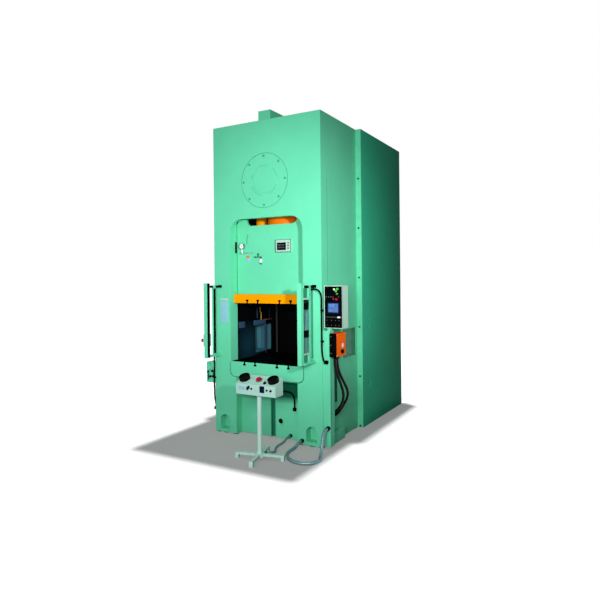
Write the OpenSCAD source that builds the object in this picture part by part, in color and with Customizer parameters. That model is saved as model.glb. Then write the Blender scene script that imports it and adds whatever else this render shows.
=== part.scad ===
// Straight-side stamping press with one connection, a rear drive enclosure,
// light guards and a two-hand control pedestal.
// Millimetres. The origin lies on the floor on the slide's axis, +Z is up and -Y is the front.

/* [Frame] */
// Width over the two uprights
frame_w = 1660; // [1600:10:1740]
// Depth of the frame from front plate to rear plate
frame_d = 1070; // [1050:10:1120]
// Height of the crown's top above the floor
frame_top = 4170; // [4150:10:4400]
// Height of the levelling pads
pad_h = 10; // [6:1:32]
// Thickness of the front and rear plates
plate_t = 60; // [50:5:70]
// Thickness of the outer side plates
side_t = 45; // [35:5:55]
// Width of the front window between the uprights
window_w = 1130; // [1120:2:1150]
// Height of the window's top above the floor
window_top = 2895; // [2880:5:2905]
// Corner radius at the window's top
window_r = 180; // [120:5:200]
// Thickness of the cheek plates beside the slide
cheek_t = 45; // [35:5:55]
// Height of the bed's top face
bed_top = 772; // [750:2:790]
// Thickness of the bed's top plate
bed_plate_t = 80; // [60:5:90]
// Width of the gap between the two front legs
leg_gap_w = 950; // [900:10:980]
// Depth of the recess between the front legs
leg_recess = 120; // [90:5:140]
// Underside of the crown's floor plate
crown_floor_z = 2960; // [2950:5:2970]
// Thickness of the crown's floor plate
crown_floor_t = 80; // [60:5:90]
// Thickness of the crown's roof plate
crown_roof_t = 40; // [30:5:60]

/* [Anchors] */
// Sideways distance between the anchor bolt holes
anchor_span_x = 1336; // [1310:2:1350]
// Distance of the anchor bolt holes from the front and rear faces
anchor_inset = 60; // [50:1:70]
// Radius of the anchor bolt holes
anchor_hole_r = 17; // [13:1:20]
// Width of an arched anchor pocket
pocket_w = 150; // [130:2:160]
// Depth of an anchor pocket into the leg
pocket_d = 120; // [110:2:140]
// Height of a pocket's floor above the floor
pocket_floor = 57; // [50:1:64]
// Height of a pocket's crown above the floor
pocket_top = 248; // [235:1:260]
// Diameter of a levelling pad
pad_d = 110; // [90:2:116]

/* [Feed openings] */
// Distance of the side openings behind the front face
feed_y0 = 600; // [580:5:620]
// Length of a side opening from front to back
feed_len = 410; // [380:5:410]
// Lower edge of a side opening
feed_z0 = 1030; // [1020:2:1050]
// Height of a side opening
feed_h = 380; // [340:5:420]
// Thickness of the guard panes in the side openings
pane_t = 8; // [5:1:12]
// Half width of the opening in the rear plate
rear_open_hw = 500; // [460:5:520]
// Top of the opening in the rear plate
rear_open_top = 1600; // [1540:5:1620]

/* [Bolster] */
// Thickness of the bolster plate
bolster_t = 213; // [190:1:230]
// Side gap between the bolster and the cheeks
bolster_gap = 5; // [3:0.5:8]
// Corner radius of the bolster's front apron
bolster_r = 80; // [50:5:100]
// Distance of the bolster's rear edge before the frame's rear face
bolster_rear = 70; // [50:5:90]
// Sideways distance between neighbouring T-slots of a pair
slot_pitch = 170; // [160:2:180]
// Width of a T-slot's neck
slot_neck = 24; // [18:1:28]
// Width of a T-slot's head
slot_head = 44; // [36:1:50]
// Depth of a T-slot's neck
slot_neck_d = 26; // [20:1:30]
// Height of a T-slot's head
slot_head_d = 22; // [16:1:26]

/* [Slide] */
// Stroke of the slide
stroke = 200; // [180:10:200]
// Die height adjustment of the slide
adjust = 60; // [40:5:60]
// Distance of the slide's face behind the front plate
slide_inset = 165; // [150:5:180]
// Side gap between the slide's flanges and the cheeks
slide_gap = 4; // [2:0.5:6]
// Thickness of the slide's front and rear flanges
flange_t = 40; // [30:5:50]
// Width of the slide's body between the gibs
slide_core_w = 910; // [880:10:930]
// Distance of the slide's rear flange before the frame's rear face
slide_rear = 165; // [150:5:180]
// Underside of the slide's orange plate at the top of the stroke
slide_low = 1768; // [1740:2:1800]
// Thickness of the slide's orange plate
slide_plate_t = 118; // [100:2:130]
// Distance of the orange plate's front edge behind the front plate
slide_plate_inset = 75; // [60:5:90]
// Distance of the orange plate's rear edge before the frame's rear face
slide_plate_rear = 95; // [80:5:120]
// Height of the slide's deck, on which the connection stands
slide_deck = 2660; // [2640:2:2680]
// Top of the slide's face plates
slide_top = 2905; // [2890:5:2915]
// Corner radius at the top of the slide's face
slide_r = 85; // [60:5:100]
// Wall of the slide's hollow body
slide_wall = 40; // [30:5:50]
// Half width of the notch in the slide's face
notch_hw = 400; // [360:5:410]
// Lower edge of the notch
notch_z = 2815; // [2800:5:2830]
// Radius of the tool shank's hole
shank_r = 25; // [20:1:30]
// Depth of the tool shank's hole
shank_depth = 90; // [70:2:100]
// Running gap between the slide and the gibs
gib_gap = 0.5; // [0.3:0.1:1]
// Height of the gibs
gib_h = 900; // [840:10:920]
// Depth of a gib from front to back
gib_d = 125; // [100:5:150]

/* [Connection] */
// Height of the crankshaft's axis
crank_z = 3379; // [3370:1:3388]
// Diameter of the crank's main journals
journal_d = 220; // [200:5:240]
// Diameter of the crank pin
pin_d = 240; // [220:5:250]
// Length of the crank pin
pin_l = 230; // [220:2:240]
// Thickness of a crank web
web_t = 90; // [80:2:100]
// Radius of a crank web
web_r = 190; // [185:1:200]
// Running clearance of shafts in their bearings, on the radius
run_fit = 0.05; // [0.02:0.01:0.1]
// Outer diameter of the bearing housings
housing_d = 480; // [440:5:500]
// Length of a bearing housing
housing_l = 230; // [210:5:250]
// Outer diameter of the connecting rod's big end
big_end_d = 400; // [380:5:420]
// Thickness of the connecting rod
rod_t = 200; // [180:5:210]
// Distance from the crank pin to the ball
rod_l = 679; // [670:1:690]
// Diameter of the ball at the rod's lower end
ball_d = 150; // [140:2:154]
// Diameter of the adjusting screw
screw_d = 110; // [90:2:120]
// Outer diameter of the plunger
plunger_d = 500; // [490:5:520]
// Inner diameter of the plunger's well
well_d = 372; // [368:2:384]
// Top of the plunger at the top of the stroke
plunger_top = 3150; // [3130:5:3160]
// Lower end of the plunger
plunger_low = 2580; // [2570:5:2590]
// Floor of the plunger's well
well_floor = 2690; // [2685:1:2694]
// Outer diameter of the plunger's guide bush
guide_d = 620; // [600:5:620]

/* [Balance cylinders] */
// Sideways distance of a balance cylinder from the slide's axis
balance_x = 400; // [396:1:404]
// Outer diameter of a balance cylinder
balance_d = 150; // [140:2:156]
// Wall of a balance cylinder
balance_wall = 22; // [18:1:26]
// Lower end of the balance cylinders
balance_low = 2770; // [2760:5:2780]
// Length of the balance cylinders
balance_l = 640; // [620:5:660]
// Diameter of the balance rods
balance_rod_d = 56; // [48:2:60]

/* [Drive] */
// Gear module
gear_m = 18; // [16:1:18]
// Teeth of the main gear
gear_teeth = 60; // [56:1:60]
// Teeth of the pinion
pinion_teeth = 14; // [14:1:16]
// Play between the teeth
backlash = 4; // [3:0.5:5]
// Face width of the main gear
gear_w = 160; // [140:5:170]
// Gap between the frame's rear face and the main gear
gear_gap = 65; // [55:5:80]
// Diameter of the crankshaft's gear seat
gear_seat_d = 200; // [180:5:210]
// Diameter of the pinion shaft
pinion_shaft_d = 110; // [90:5:120]
// Diameter of the flywheel
flywheel_d = 1000; // [960:10:1020]
// Width of the flywheel
flywheel_w = 190; // [170:5:200]
// Distance of the flywheel's centre behind the frame
flywheel_y = 565; // [555:5:580]
// Diameter of the motor pulley
pulley_d = 260; // [240:5:280]
// Number of drive belts
belt_count = 4; // [3:1:4]
// Spacing of the drive belts
belt_pitch = 36; // [32:1:40]
// Width of a drive belt
belt_w = 22; // [18:1:24]
// Height of a drive belt
belt_h = 14; // [12:1:16]
// Height of the main motor's axis
motor_z = 1945; // [1935:1:1955]
// Diameter of the main motor's body
motor_d = 420; // [400:5:430]
// Length of the main motor's body
motor_l = 380; // [360:5:390]
// Diameter of the clutch drum
clutch_d = 520; // [480:10:560]
// Width of the clutch drum
clutch_w = 80; // [70:2:84]

/* [Enclosure] */
// Length of the rear enclosure
enclosure_l = 1615; // [1560:5:1700]
// Distance by which the enclosure stands proud of the frame's sides
enclosure_proud = 80; // [70:2:90]
// Thickness of the enclosure's sheets
sheet_t = 5; // [4:0.5:6]
// Height of the enclosure's lower edge
enclosure_z0 = 6; // [4:1:10]
// Width of the enclosure's folded flanges behind the frame
fold_w = 60; // [50:2:70]
// Height of the lowest panel bolt
bolt_z0 = 30; // [26:1:60]
// Spacing of the panel bolts
bolt_pitch = 690; // [640:5:700]
// Width of the rear door
door_w = 800; // [700:10:860]
// Lower edge of the rear door
door_z0 = 120; // [100:5:160]
// Height of the rear door
door_h = 1980; // [1900:10:2050]
// Thickness of the rear door
door_t = 25; // [20:1:30]

/* [Crown] */
// Diameter of the round crown cover
cover_d = 710; // [700:5:730]
// Thickness of the round crown cover
cover_t = 20; // [16:1:24]
// Diameter of the cover's raised centre
cover_hub_d = 330; // [300:5:360]
// Number of bolts round the cover
cover_bolts_n = 8; // [6:1:12]
// Diameter of the circle of cover bolts
cover_pcd = 640; // [620:5:660]
// Width of the box on the roof
roof_box_w = 193; // [180:1:220]
// Height of the box on the roof
roof_box_h = 230; // [200:5:260]
// Length of the box on the roof
roof_box_l = 700; // [600:10:720]

/* [Light guards] */
// Sideways distance of the light channels from the slide's axis
channel_x = 707; // [700:1:712]
// Distance of the channels in front of the front plate
channel_out = 290; // [270:5:300]
// Lower end of the channels
channel_z0 = 1055; // [1040:5:1070]
// Upper end of the channels
channel_z1 = 2040; // [2000:5:2060]
// Width of a channel
channel_w = 54; // [46:1:60]
// Depth of a channel
channel_d = 60; // [50:1:66]
// Wall of a channel
channel_t = 5; // [4:0.5:6]
// Sideways distance of the guard posts and their arms from the slide's axis
post_x = 730; // [724:1:736]
// Width of a guard post
post_w = 26; // [22:1:30]
// Depth of a guard post
post_d = 49; // [40:1:60]
// Distance of the guard posts in front of the front plate
post_out = 123; // [110:1:135]
// Depth of the light bar
light_bar_d = 98; // [80:1:110]
// Length of a light bar
light_bar_l = 640; // [560:10:660]

/* [Control box] */
// Width of the duct post beside the frame
duct_w = 100; // [94:2:106]
// Distance of the duct post's front behind the front plate
duct_back = 12; // [6:1:20]
// Depth of the duct post
duct_d = 115; // [100:1:118]
// Top of the duct post
duct_top = 1450; // [1440:2:1460]
// Width of the control box
control_w = 245; // [230:5:260]
// Depth of the control box
control_d = 175; // [160:5:190]
// Height of the control box
control_h = 520; // [500:5:540]
// Lower edge of the control box
control_z0 = 1485; // [1480:1:1490]
// Width of the isolator box
isolator_w = 90; // [80:1:96]
// Height of the isolator box
isolator_h = 285; // [270:5:295]
// Depth of the isolator box
isolator_d = 270; // [250:5:280]
// Lower edge of the isolator box
isolator_z0 = 1135; // [1125:1:1150]

/* [Pedestal] */
// Sideways place of the pedestal
pedestal_x = 345; // [330:5:400]
// Distance of the pedestal's post in front of the front plate
pedestal_out = 670; // [650:5:700]
// Width of the console
console_w = 545; // [520:5:560]
// Depth of the console
console_d = 165; // [155:5:175]
// Lower edge of the console
console_z0 = 752; // [740:2:770]
// Height of the console's front face
console_h = 124; // [110:2:130]
// Rise of the console's top from front to back
console_rise = 78; // [60:2:84]
// Diameter of the pedestal's post
stand_d = 54; // [48:1:60]
// Length of a leg of the star base
star_l = 300; // [260:5:320]
// Diameter of a palm button
palm_d = 92; // [80:2:96]
// Diameter of a palm button's guard ring
palm_ring_d = 132; // [124:2:136]
// Travel of the push buttons
press = 6; // [4:1:8]
// Diameter of the red stop buttons
stop_d = 62; // [54:1:66]

/* [Hidden] */
$fn = 48;

// Main planes
fx = frame_w / 2;
fy = -frame_d / 2;
ry = frame_d / 2;
hw = window_w / 2;
bolster_w = window_w - 2 * bolster_gap;
bolster_d = frame_d - bolster_rear;
slide_d = frame_d - slide_inset - slide_rear;
slide_plate_d = frame_d - slide_plate_inset - slide_plate_rear;
bolster_top = bed_top + bolster_t;
crown_in = crown_floor_z + crown_floor_t;
throw = stroke / 2;
cut = 1;
seat_fit = 0.1;
gap = 0.5;

// Paint and metal colours
green = [0.42, 0.83, 0.68];
dark_green = [0.16, 0.36, 0.30];
orange = [1.0, 0.60, 0.05];
signal_orange = [1.0, 0.40, 0.08];
steel = [0.62, 0.63, 0.65];
iron = [0.35, 0.36, 0.38];
bronze = [0.72, 0.55, 0.28];
black = [0.06, 0.06, 0.07];
red = [0.70, 0.05, 0.10];
pale_green = [0.72, 0.86, 0.80];
hose_grey = [0.50, 0.60, 0.64];
motor_blue = [0.20, 0.36, 0.50];

// Points of an arc from angle a0 to a1
function arc(cx, cy, r, a0, a1, n = 12) =
    [for (i = [0:n]) [cx + r * cos(a0 + (a1 - a0) * i / n), cy + r * sin(a0 + (a1 - a0) * i / n)]];
// One corner of an outline, rounded where r is above zero
function corner(x, y, r, sx, sy, a0) =
    r > 0 ? arc(x - sx * r, y - sy * r, r, a0, a0 + 90) : [[x, y]];
// A rectangle's outline with its own radii at the bottom and the top
function round_box(x0, y0, x1, y1, r_low, r_top) = concat(
    corner(x0, y0, r_low, -1, -1, 180),
    corner(x1, y0, r_low, 1, -1, 270),
    corner(x1, y1, r_top, 1, 1, 0),
    corner(x0, y1, r_top, -1, 1, 90));

// Extrudes an outline of X and Z from y0 to y1
module along_y(y0, y1) translate([0, y1, 0]) rotate([90, 0, 0]) linear_extrude(y1 - y0) children();
// Extrudes an outline of Y and Z from x0 to x1
module along_x(x0, x1) translate([x0, 0, 0]) rotate([90, 0, 90]) linear_extrude(x1 - x0) children();
// A box from its two corners
module block(a, b) translate(a) cube(b - a);
// A cylinder along Y round the point x, z
module rod_y(x, z, d, y0, y1) translate([x, y1, z]) rotate([90, 0, 0]) cylinder(d = d, h = y1 - y0);
// A cylinder along X round the point y, z
module rod_x(y, z, d, x0, x1) translate([x0, y, z]) rotate([0, 90, 0]) cylinder(d = d, h = x1 - x0);
// A cylinder along Z round the point x, y
module rod_z(x, y, d, z0, z1) translate([x, y, z0]) cylinder(d = d, h = z1 - z0);

// ---- Frame ----
anchor_x = anchor_span_x / 2;
anchor_y = -fy - anchor_inset;
leg_wall = 40;
column_floor = bed_top;
feed_y = fy + feed_y0;
feed_wall = 30;
window_low_r = bolster_r + bolster_gap;
panel_groove_x0 = 8;
panel_groove_w = 58;
panel_groove_d = 28;
drain_x = 165;
drain_z = 203;
drain_d = 52;

function arch_outline(x) = concat(
    [[x - pocket_w / 2, pocket_floor], [x + pocket_w / 2, pocket_floor]],
    arc(x, pocket_top - pocket_w / 2, pocket_w / 2, 0, 180, 24));

module anchor_pocket(side) {
    along_y(fy - cut, fy + pocket_d) polygon(arch_outline(side * anchor_x));
    along_y(ry - pocket_d, ry + cut) polygon(arch_outline(side * anchor_x));
    for (y = [-anchor_y, anchor_y])
        rod_z(side * anchor_x, y, 2 * anchor_hole_r, pad_h - cut, pocket_floor + cut);
}

// Steel round a side opening, from the cheek to the outer plate
module feed_tunnel(side)
    block([side > 0 ? hw : -fx, feed_y - feed_wall, feed_z0 - feed_wall],
        [side > 0 ? fx : -hw, feed_y + feed_len + feed_wall, feed_z0 + feed_h + feed_wall]);

module column_hollow(side)
    block([side > 0 ? hw + cheek_t : side_t - fx, fy + plate_t, column_floor],
        [side > 0 ? fx - side_t : -hw - cheek_t, ry - plate_t, crown_in + cut]);

module frame() color(green) difference() {
    union() {
        difference() {
            block([-fx, fy, pad_h], [fx, ry, frame_top]);
            for (side = [-1, 1])
                column_hollow(side);
            block([side_t - fx, fy + pocket_d + leg_wall, pad_h - cut],
                [fx - side_t, ry - pocket_d - leg_wall, bed_top - bed_plate_t]);
            block([side_t - fx, fy + plate_t, crown_in],
                [fx - side_t, ry - plate_t, frame_top - crown_roof_t]);
        }
        for (side = [-1, 1])
            feed_tunnel(side);
    }
    along_y(fy - cut, fy + plate_t + cut)
        polygon(round_box(-hw, bed_top, hw, window_top, window_low_r, window_r));
    block([-hw, fy + plate_t, bed_top], [hw, ry - plate_t, crown_floor_z]);
    block([-rear_open_hw, ry - plate_t - cut, bed_top], [rear_open_hw, ry + cut, rear_open_top]);
    block([-leg_gap_w / 2, fy - cut, pad_h - cut], [leg_gap_w / 2, fy + leg_recess, bed_top + cut]);
    block([panel_groove_x0, fy + leg_recess - cut, pad_h - cut],
        [panel_groove_x0 + panel_groove_w, fy + leg_recess + panel_groove_d, bed_top - bed_plate_t]);
    rod_y(drain_x, drain_z, drain_d, fy + leg_recess - cut, fy + leg_recess + panel_groove_d);
    block([-fx - cut, feed_y, feed_z0], [fx + cut, feed_y + feed_len, feed_z0 + feed_h]);
    for (side = [-1, 1]) {
        anchor_pocket(side);
        rod_z(side * balance_x, 0, balance_d + 2 * seat_fit, crown_floor_z - cut, crown_in + cut);
    }
    rod_z(0, 0, guide_d + 2 * seat_fit, crown_floor_z - cut, crown_in + cut);
    rod_y(0, crank_z, cover_d + 2 * gap, fy - cut, fy + cover_t);
    rod_y(0, crank_z, housing_d + 2 * seat_fit, fy, fy + plate_t + cut);
    rod_y(0, crank_z, housing_d + 2 * seat_fit, ry - plate_t - cut, ry + cut);
    rod_y(0, pinion_z, pinion_shaft_d + 2 * run_fit, ry - plate_t - cut, ry + cut);
}

corner_pad_d = 70;
corner_pad_in = 40;
module levelling_pads() color(black) for (side = [-1, 1], end = [-1, 1]) {
    difference() {
        rod_z(side * anchor_x, end * anchor_y, pad_d, 0, pad_h);
        rod_z(side * anchor_x, end * anchor_y, 2 * anchor_hole_r, -cut, pad_h + cut);
    }
    rod_z(side * (leg_gap_w / 2 + corner_pad_in), end * (ry - corner_pad_in), corner_pad_d, 0, pad_h);
    rod_z(side * (fx - corner_pad_in), end * (ry - corner_pad_in), corner_pad_d, 0, pad_h);
}

// ---- Crown cover and panel bolts ----
cover_rise = 6;
bolt_head_d = 26;
bolt_head_h = 12;
module crown_cover() color(green) union() {
    rod_y(0, crank_z, cover_d, fy, fy + cover_t);
    rod_y(0, crank_z, cover_hub_d, fy - cover_rise, fy + cut);
}

strip_bolts_n = floor((frame_top - bolt_z0 - bolt_head_d) / bolt_pitch);
module panel_bolts() color(green) {
    for (i = [0:cover_bolts_n - 1])
        rod_y(cover_pcd / 2 * cos(i * 360 / cover_bolts_n),
            crank_z + cover_pcd / 2 * sin(i * 360 / cover_bolts_n),
            bolt_head_d, fy - bolt_head_h, fy);
    for (side = [-1, 1], i = [0:strip_bolts_n])
        rod_y(side * (fx + enclosure_proud / 2), bolt_z0 + i * bolt_pitch, bolt_head_d,
            ry - bolt_head_h, ry);
}

// ---- Bolster ----
function slot_xs() = [-2 * slot_pitch, -slot_pitch, slot_pitch, 2 * slot_pitch];
// A T-slot's outline below the face at height z, or above it where up is 1
function slot_outline(x, z, up) = [
    [x - slot_neck / 2, z - up * cut], [x - slot_neck / 2, z + up * slot_neck_d],
    [x - slot_head / 2, z + up * slot_neck_d], [x - slot_head / 2, z + up * (slot_neck_d + slot_head_d)],
    [x + slot_head / 2, z + up * (slot_neck_d + slot_head_d)], [x + slot_head / 2, z + up * slot_neck_d],
    [x + slot_neck / 2, z + up * slot_neck_d], [x + slot_neck / 2, z - up * cut]];

module bolster() color(green) difference() {
    union() {
        along_y(fy, fy + plate_t + cut)
            polygon(round_box(-bolster_w / 2, bed_top, bolster_w / 2, bolster_top, bolster_r, 0));
        block([-bolster_w / 2, fy + plate_t + cut, bed_top], [bolster_w / 2, fy + bolster_d, bolster_top]);
    }
    for (x = slot_xs())
        along_y(fy - cut, fy + bolster_d + cut) polygon(slot_outline(x, bolster_top, -1));
}

// ---- Slide ----
slide_hw = hw - slide_gap;
slide_z0 = slide_low + slide_plate_t;
sf = fy + slide_inset;
sr = sf + slide_d;
core_hw = slide_core_w / 2;
sleeve_wall = 40;
sleeve_z0 = 2400;
access_w = 220;
access_h = 300;
notch_r = 80;

module slide_flange(y0) along_y(y0, y0 + flange_t) difference() {
    polygon(round_box(-slide_hw, slide_z0, slide_hw, slide_top, 0, slide_r));
    polygon(round_box(-notch_hw, notch_z, notch_hw, slide_top + 2 * notch_r, notch_r, 0));
}

module slide_body() color(green) difference() {
    union() {
        slide_flange(sf);
        slide_flange(sr - flange_t);
        difference() {
            block([-core_hw, sf + flange_t, slide_z0], [core_hw, sr - flange_t, slide_deck]);
            block([slide_wall - core_hw, sf + flange_t + slide_wall, slide_z0 + slide_wall],
                [core_hw - slide_wall, sr - flange_t - slide_wall, slide_deck - slide_wall]);
        }
        rod_z(0, 0, plunger_d + 2 * sleeve_wall, sleeve_z0, slide_deck);
    }
    rod_z(0, 0, plunger_d + 2 * run_fit, sleeve_z0 - cut, slide_deck + cut);
    block([-core_hw - cut, -access_w / 2, slide_z0 + 2 * slide_wall],
        [core_hw + cut, access_w / 2, slide_z0 + 2 * slide_wall + access_h]);
}

module slide_plate() color(orange) difference() {
    block([-slide_hw, fy + slide_plate_inset, slide_low],
        [slide_hw, fy + slide_plate_inset + slide_plate_d, slide_z0]);
    for (x = slot_xs())
        along_y(fy, ry) polygon(slot_outline(x, slide_low, 1));
    rod_z(0, 0, 2 * shank_r, slide_low - cut, slide_low + shank_depth);
}

gib_z0 = slide_z0 + adjust;
module gibs() color(bronze) for (side = [-1, 1], end = [-1, 1]) {
    x0 = core_hw + gib_gap;
    y0 = end < 0 ? sf + flange_t + gib_gap : sr - flange_t - gib_gap - gib_d;
    block([side > 0 ? x0 : -hw, y0, gib_z0], [side > 0 ? hw : -x0, y0 + gib_d, gib_z0 + gib_h]);
}

// ---- Connection ----
module plunger() color(orange) difference() {
    rod_z(0, 0, plunger_d, plunger_low, plunger_top);
    rod_z(0, 0, well_d, well_floor, plunger_top + cut);
}

guide_flange = 10;
guide_flange_t = 20;
module plunger_guide() color(bronze) difference() {
    union() {
        rod_z(0, 0, guide_d, crown_floor_z, crown_in);
        rod_z(0, 0, guide_d + 2 * guide_flange, crown_in, crown_in + guide_flange_t);
    }
    rod_z(0, 0, plunger_d + 2 * run_fit, crown_floor_z - cut, crown_in + guide_flange_t + cut);
}

top_pin_z = crank_z + throw;
ball_z = top_pin_z - rod_l;
neck_z0 = plunger_top + 40;
neck_hw = 95;
screw_top = neck_z0 + 95;
module connecting_rod() color(iron) difference() {
    union() {
        rod_y(0, top_pin_z, big_end_d, -rod_t / 2, rod_t / 2);
        block([-neck_hw, 5 - rod_t / 2, neck_z0], [neck_hw, rod_t / 2 - 5, top_pin_z - pin_d / 2 - 10]);
    }
    rod_y(0, top_pin_z, pin_d + 2 * run_fit, -rod_t, rod_t);
    rod_z(0, 0, screw_d + 2 * run_fit, neck_z0 - cut, screw_top);
}

module adjusting_screw() color(steel) union() {
    translate([0, 0, ball_z]) sphere(d = ball_d);
    rod_z(0, 0, screw_d, ball_z, screw_top - gap);
}

web_off = 45;
module crankshaft() color(steel) union() {
    rod_y(0, crank_z, journal_d, fy + cover_t + 10, -pin_l / 2 - web_t + cut);
    rod_y(0, crank_z + web_off, 2 * web_r, -pin_l / 2 - web_t, -pin_l / 2);
    rod_y(0, top_pin_z, pin_d, -pin_l / 2 - cut, pin_l / 2 + cut);
    rod_y(0, crank_z + web_off, 2 * web_r, pin_l / 2, pin_l / 2 + web_t);
    rod_y(0, crank_z, journal_d, pin_l / 2 + web_t - cut, ry + gap);
    rod_y(0, crank_z, gear_seat_d, ry, ry + gear_gap + gear_w + 20);
}

module crank_bearings() color(bronze) {
    bearing_ring(fy + cover_t + 2);
    bearing_ring(ry - housing_l);
}
module bearing_ring(y0) difference() {
    rod_y(0, crank_z, housing_d, y0, y0 + housing_l);
    rod_y(0, crank_z, journal_d + 2 * run_fit, y0 - cut, y0 + housing_l + cut);
}

balance_top = balance_low + balance_l;
balance_cap = 25;
piston_h = 50;
module balance_cylinders() color(orange) for (side = [-1, 1]) difference() {
    rod_z(side * balance_x, 0, balance_d, balance_low, balance_top);
    rod_z(side * balance_x, 0, balance_d - 2 * balance_wall, balance_low + balance_cap,
        balance_top - balance_cap);
    rod_z(side * balance_x, 0, balance_rod_d + 2 * run_fit, balance_low - cut,
        balance_low + balance_cap + cut);
}
module balance_rods() color(steel) for (side = [-1, 1]) {
    piston_top = balance_top - balance_cap - 10;
    rod_z(side * balance_x, 0, balance_rod_d, slide_deck, piston_top);
    rod_z(side * balance_x, 0, balance_d - 2 * balance_wall - 2 * gap, piston_top - piston_h, piston_top);
}

// ---- Drive ----
pitch_r = gear_m * gear_teeth / 2;
pinion_r = gear_m * pinion_teeth / 2;
pinion_z = crank_z - pitch_r - pinion_r;
pressure = 20;
gear_y0 = ry + gear_gap;
gear_y1 = gear_y0 + gear_w;
// Involute of an angle, in degrees
function inv(a) = tan(a) * 180 / PI - a;
// Half the angle that a tooth spans at radius r
function tooth_half(r, rp, z) = let (rb = rp * cos(pressure), rr = max(r, rb))
    90 / z + inv(pressure) - inv(acos(min(1, rb / rr))) - backlash / 4 / rp * 180 / PI;
// Outline of a spur gear with its first tooth at angle a0
function gear_outline(z, a0) = let (rp = gear_m * z / 2, radii = [rp - 1.25 * gear_m,
        rp - 0.5 * gear_m, rp, rp + 0.5 * gear_m, rp + gear_m])
    [for (t = [0:z - 1], s = [-1, 1], i = [0:4])
        let (k = s < 0 ? i : 4 - i, a = a0 + t * 360 / z + s * tooth_half(radii[k], rp, z))
        [radii[k] * cos(a), radii[k] * sin(a)]];

gear_hub_d = gear_seat_d + 130;
gear_rim = 70;
gear_web = 60;
module main_gear() color(iron) difference() {
    union() {
        difference() {
            along_y(gear_y0, gear_y1) translate([0, crank_z]) polygon(gear_outline(gear_teeth, -90));
            rod_y(0, crank_z, 2 * (pitch_r - gear_rim), gear_y0 - cut, gear_y1 + cut);
        }
        rod_y(0, crank_z, 2 * (pitch_r - gear_rim) + cut, gear_y0 + (gear_w - gear_web) / 2,
            gear_y1 - (gear_w - gear_web) / 2);
        rod_y(0, crank_z, gear_hub_d, gear_y0, gear_y1);
    }
    rod_y(0, crank_z, gear_seat_d + 2 * seat_fit, gear_y0 - cut, gear_y1 + cut);
}

fly_y0 = ry + flywheel_y - flywheel_w / 2;
fly_y1 = fly_y0 + flywheel_w;
collar_d = pinion_shaft_d + 80;
collar_w = 25;
module pinion_shaft() color(steel) union() {
    rod_y(0, pinion_z, pinion_shaft_d, ry - plate_t + 5, fly_y1 + 2 * collar_w);
    along_y(gear_y0 - 5, gear_y1 + 5) translate([0, pinion_z])
        polygon(gear_outline(pinion_teeth, 90 + 180 / pinion_teeth));
    rod_y(0, pinion_z, collar_d, fly_y1 + gap, fly_y1 + gap + collar_w);
}

bracket_hw = 260;
bracket_t = 40;
bracket_reach = 115;
bracket_drop = 300;
bracket_y1 = gear_y1 + bracket_reach;
bracket_z0 = pinion_z - bracket_drop;
bracket_top = crank_z - pitch_r - gear_m - 25;
motor_gap = 60;
motor_y0 = ry + motor_gap;
motor_y1 = motor_y0 + motor_l;
motor_foot_h = 15;
shelf_z = motor_z - motor_d / 2 - motor_foot_h;
shelf_lip = 25;
shelf_y1 = motor_y1 + shelf_lip;
module drive_bracket() color(green) difference() {
    union() {
        block([-bracket_hw, ry, rear_open_top], [bracket_hw, ry + bracket_t, bracket_top]);
        block([-bracket_hw, ry, bracket_z0], [bracket_hw, bracket_y1, bracket_z0 + bracket_t]);
        block([-bracket_hw, bracket_y1 - bracket_t, bracket_z0], [bracket_hw, bracket_y1, bracket_top]);
        for (side = [-1, 1])
            block([side > 0 ? bracket_hw - bracket_t : -bracket_hw, ry, bracket_z0],
                [side > 0 ? bracket_hw : bracket_t - bracket_hw, bracket_y1, bracket_top]);
        block([-bracket_hw, ry, shelf_z - bracket_t], [bracket_hw, shelf_y1, shelf_z]);
        for (side = [-1, 1])
            along_x(side > 0 ? bracket_hw - bracket_t : -bracket_hw,
                side > 0 ? bracket_hw : bracket_t - bracket_hw)
                polygon([[ry, shelf_z - cut], [ry, rear_open_top], [ry + bracket_t, rear_open_top],
                    [shelf_y1, shelf_z - bracket_t], [shelf_y1, shelf_z - cut]]);
    }
    rod_y(0, pinion_z, pinion_shaft_d + 2 * run_fit, ry - cut, bracket_y1 + cut);
}

// A belt pulley's rim with one square groove for each belt
module grooved_disc(z, d, y0, y1) difference() {
    rod_y(0, z, d, y0, y1);
    for (i = [0:belt_count - 1])
        belt_ring(z, d, belt_y(i));
}
module belt_ring(z, d, y) difference() {
    rod_y(0, z, d + 2 * cut, y - belt_w / 2 - gap, y + belt_w / 2 + gap);
    rod_y(0, z, d - 2 * belt_h - 2 * gap, y - belt_w / 2 - cut, y + belt_w / 2 + cut);
}
function belt_y(i) = ry + flywheel_y + (i - (belt_count - 1) / 2) * belt_pitch;

fly_rim = 90;
fly_web = 60;
module flywheel() color(dark_green) difference() {
    union() {
        difference() {
            grooved_disc(pinion_z, flywheel_d, fly_y0, fly_y1);
            rod_y(0, pinion_z, flywheel_d - 2 * fly_rim, fly_y0 - cut, fly_y1 + cut);
        }
        rod_y(0, pinion_z, flywheel_d - 2 * fly_rim + cut, fly_y0 + (flywheel_w - fly_web) / 2,
            fly_y1 - (flywheel_w - fly_web) / 2);
        rod_y(0, pinion_z, collar_d, fly_y0, fly_y1);
    }
    rod_y(0, pinion_z, pinion_shaft_d + 2 * run_fit, fly_y0 - cut, fly_y1 + cut);
}

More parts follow.
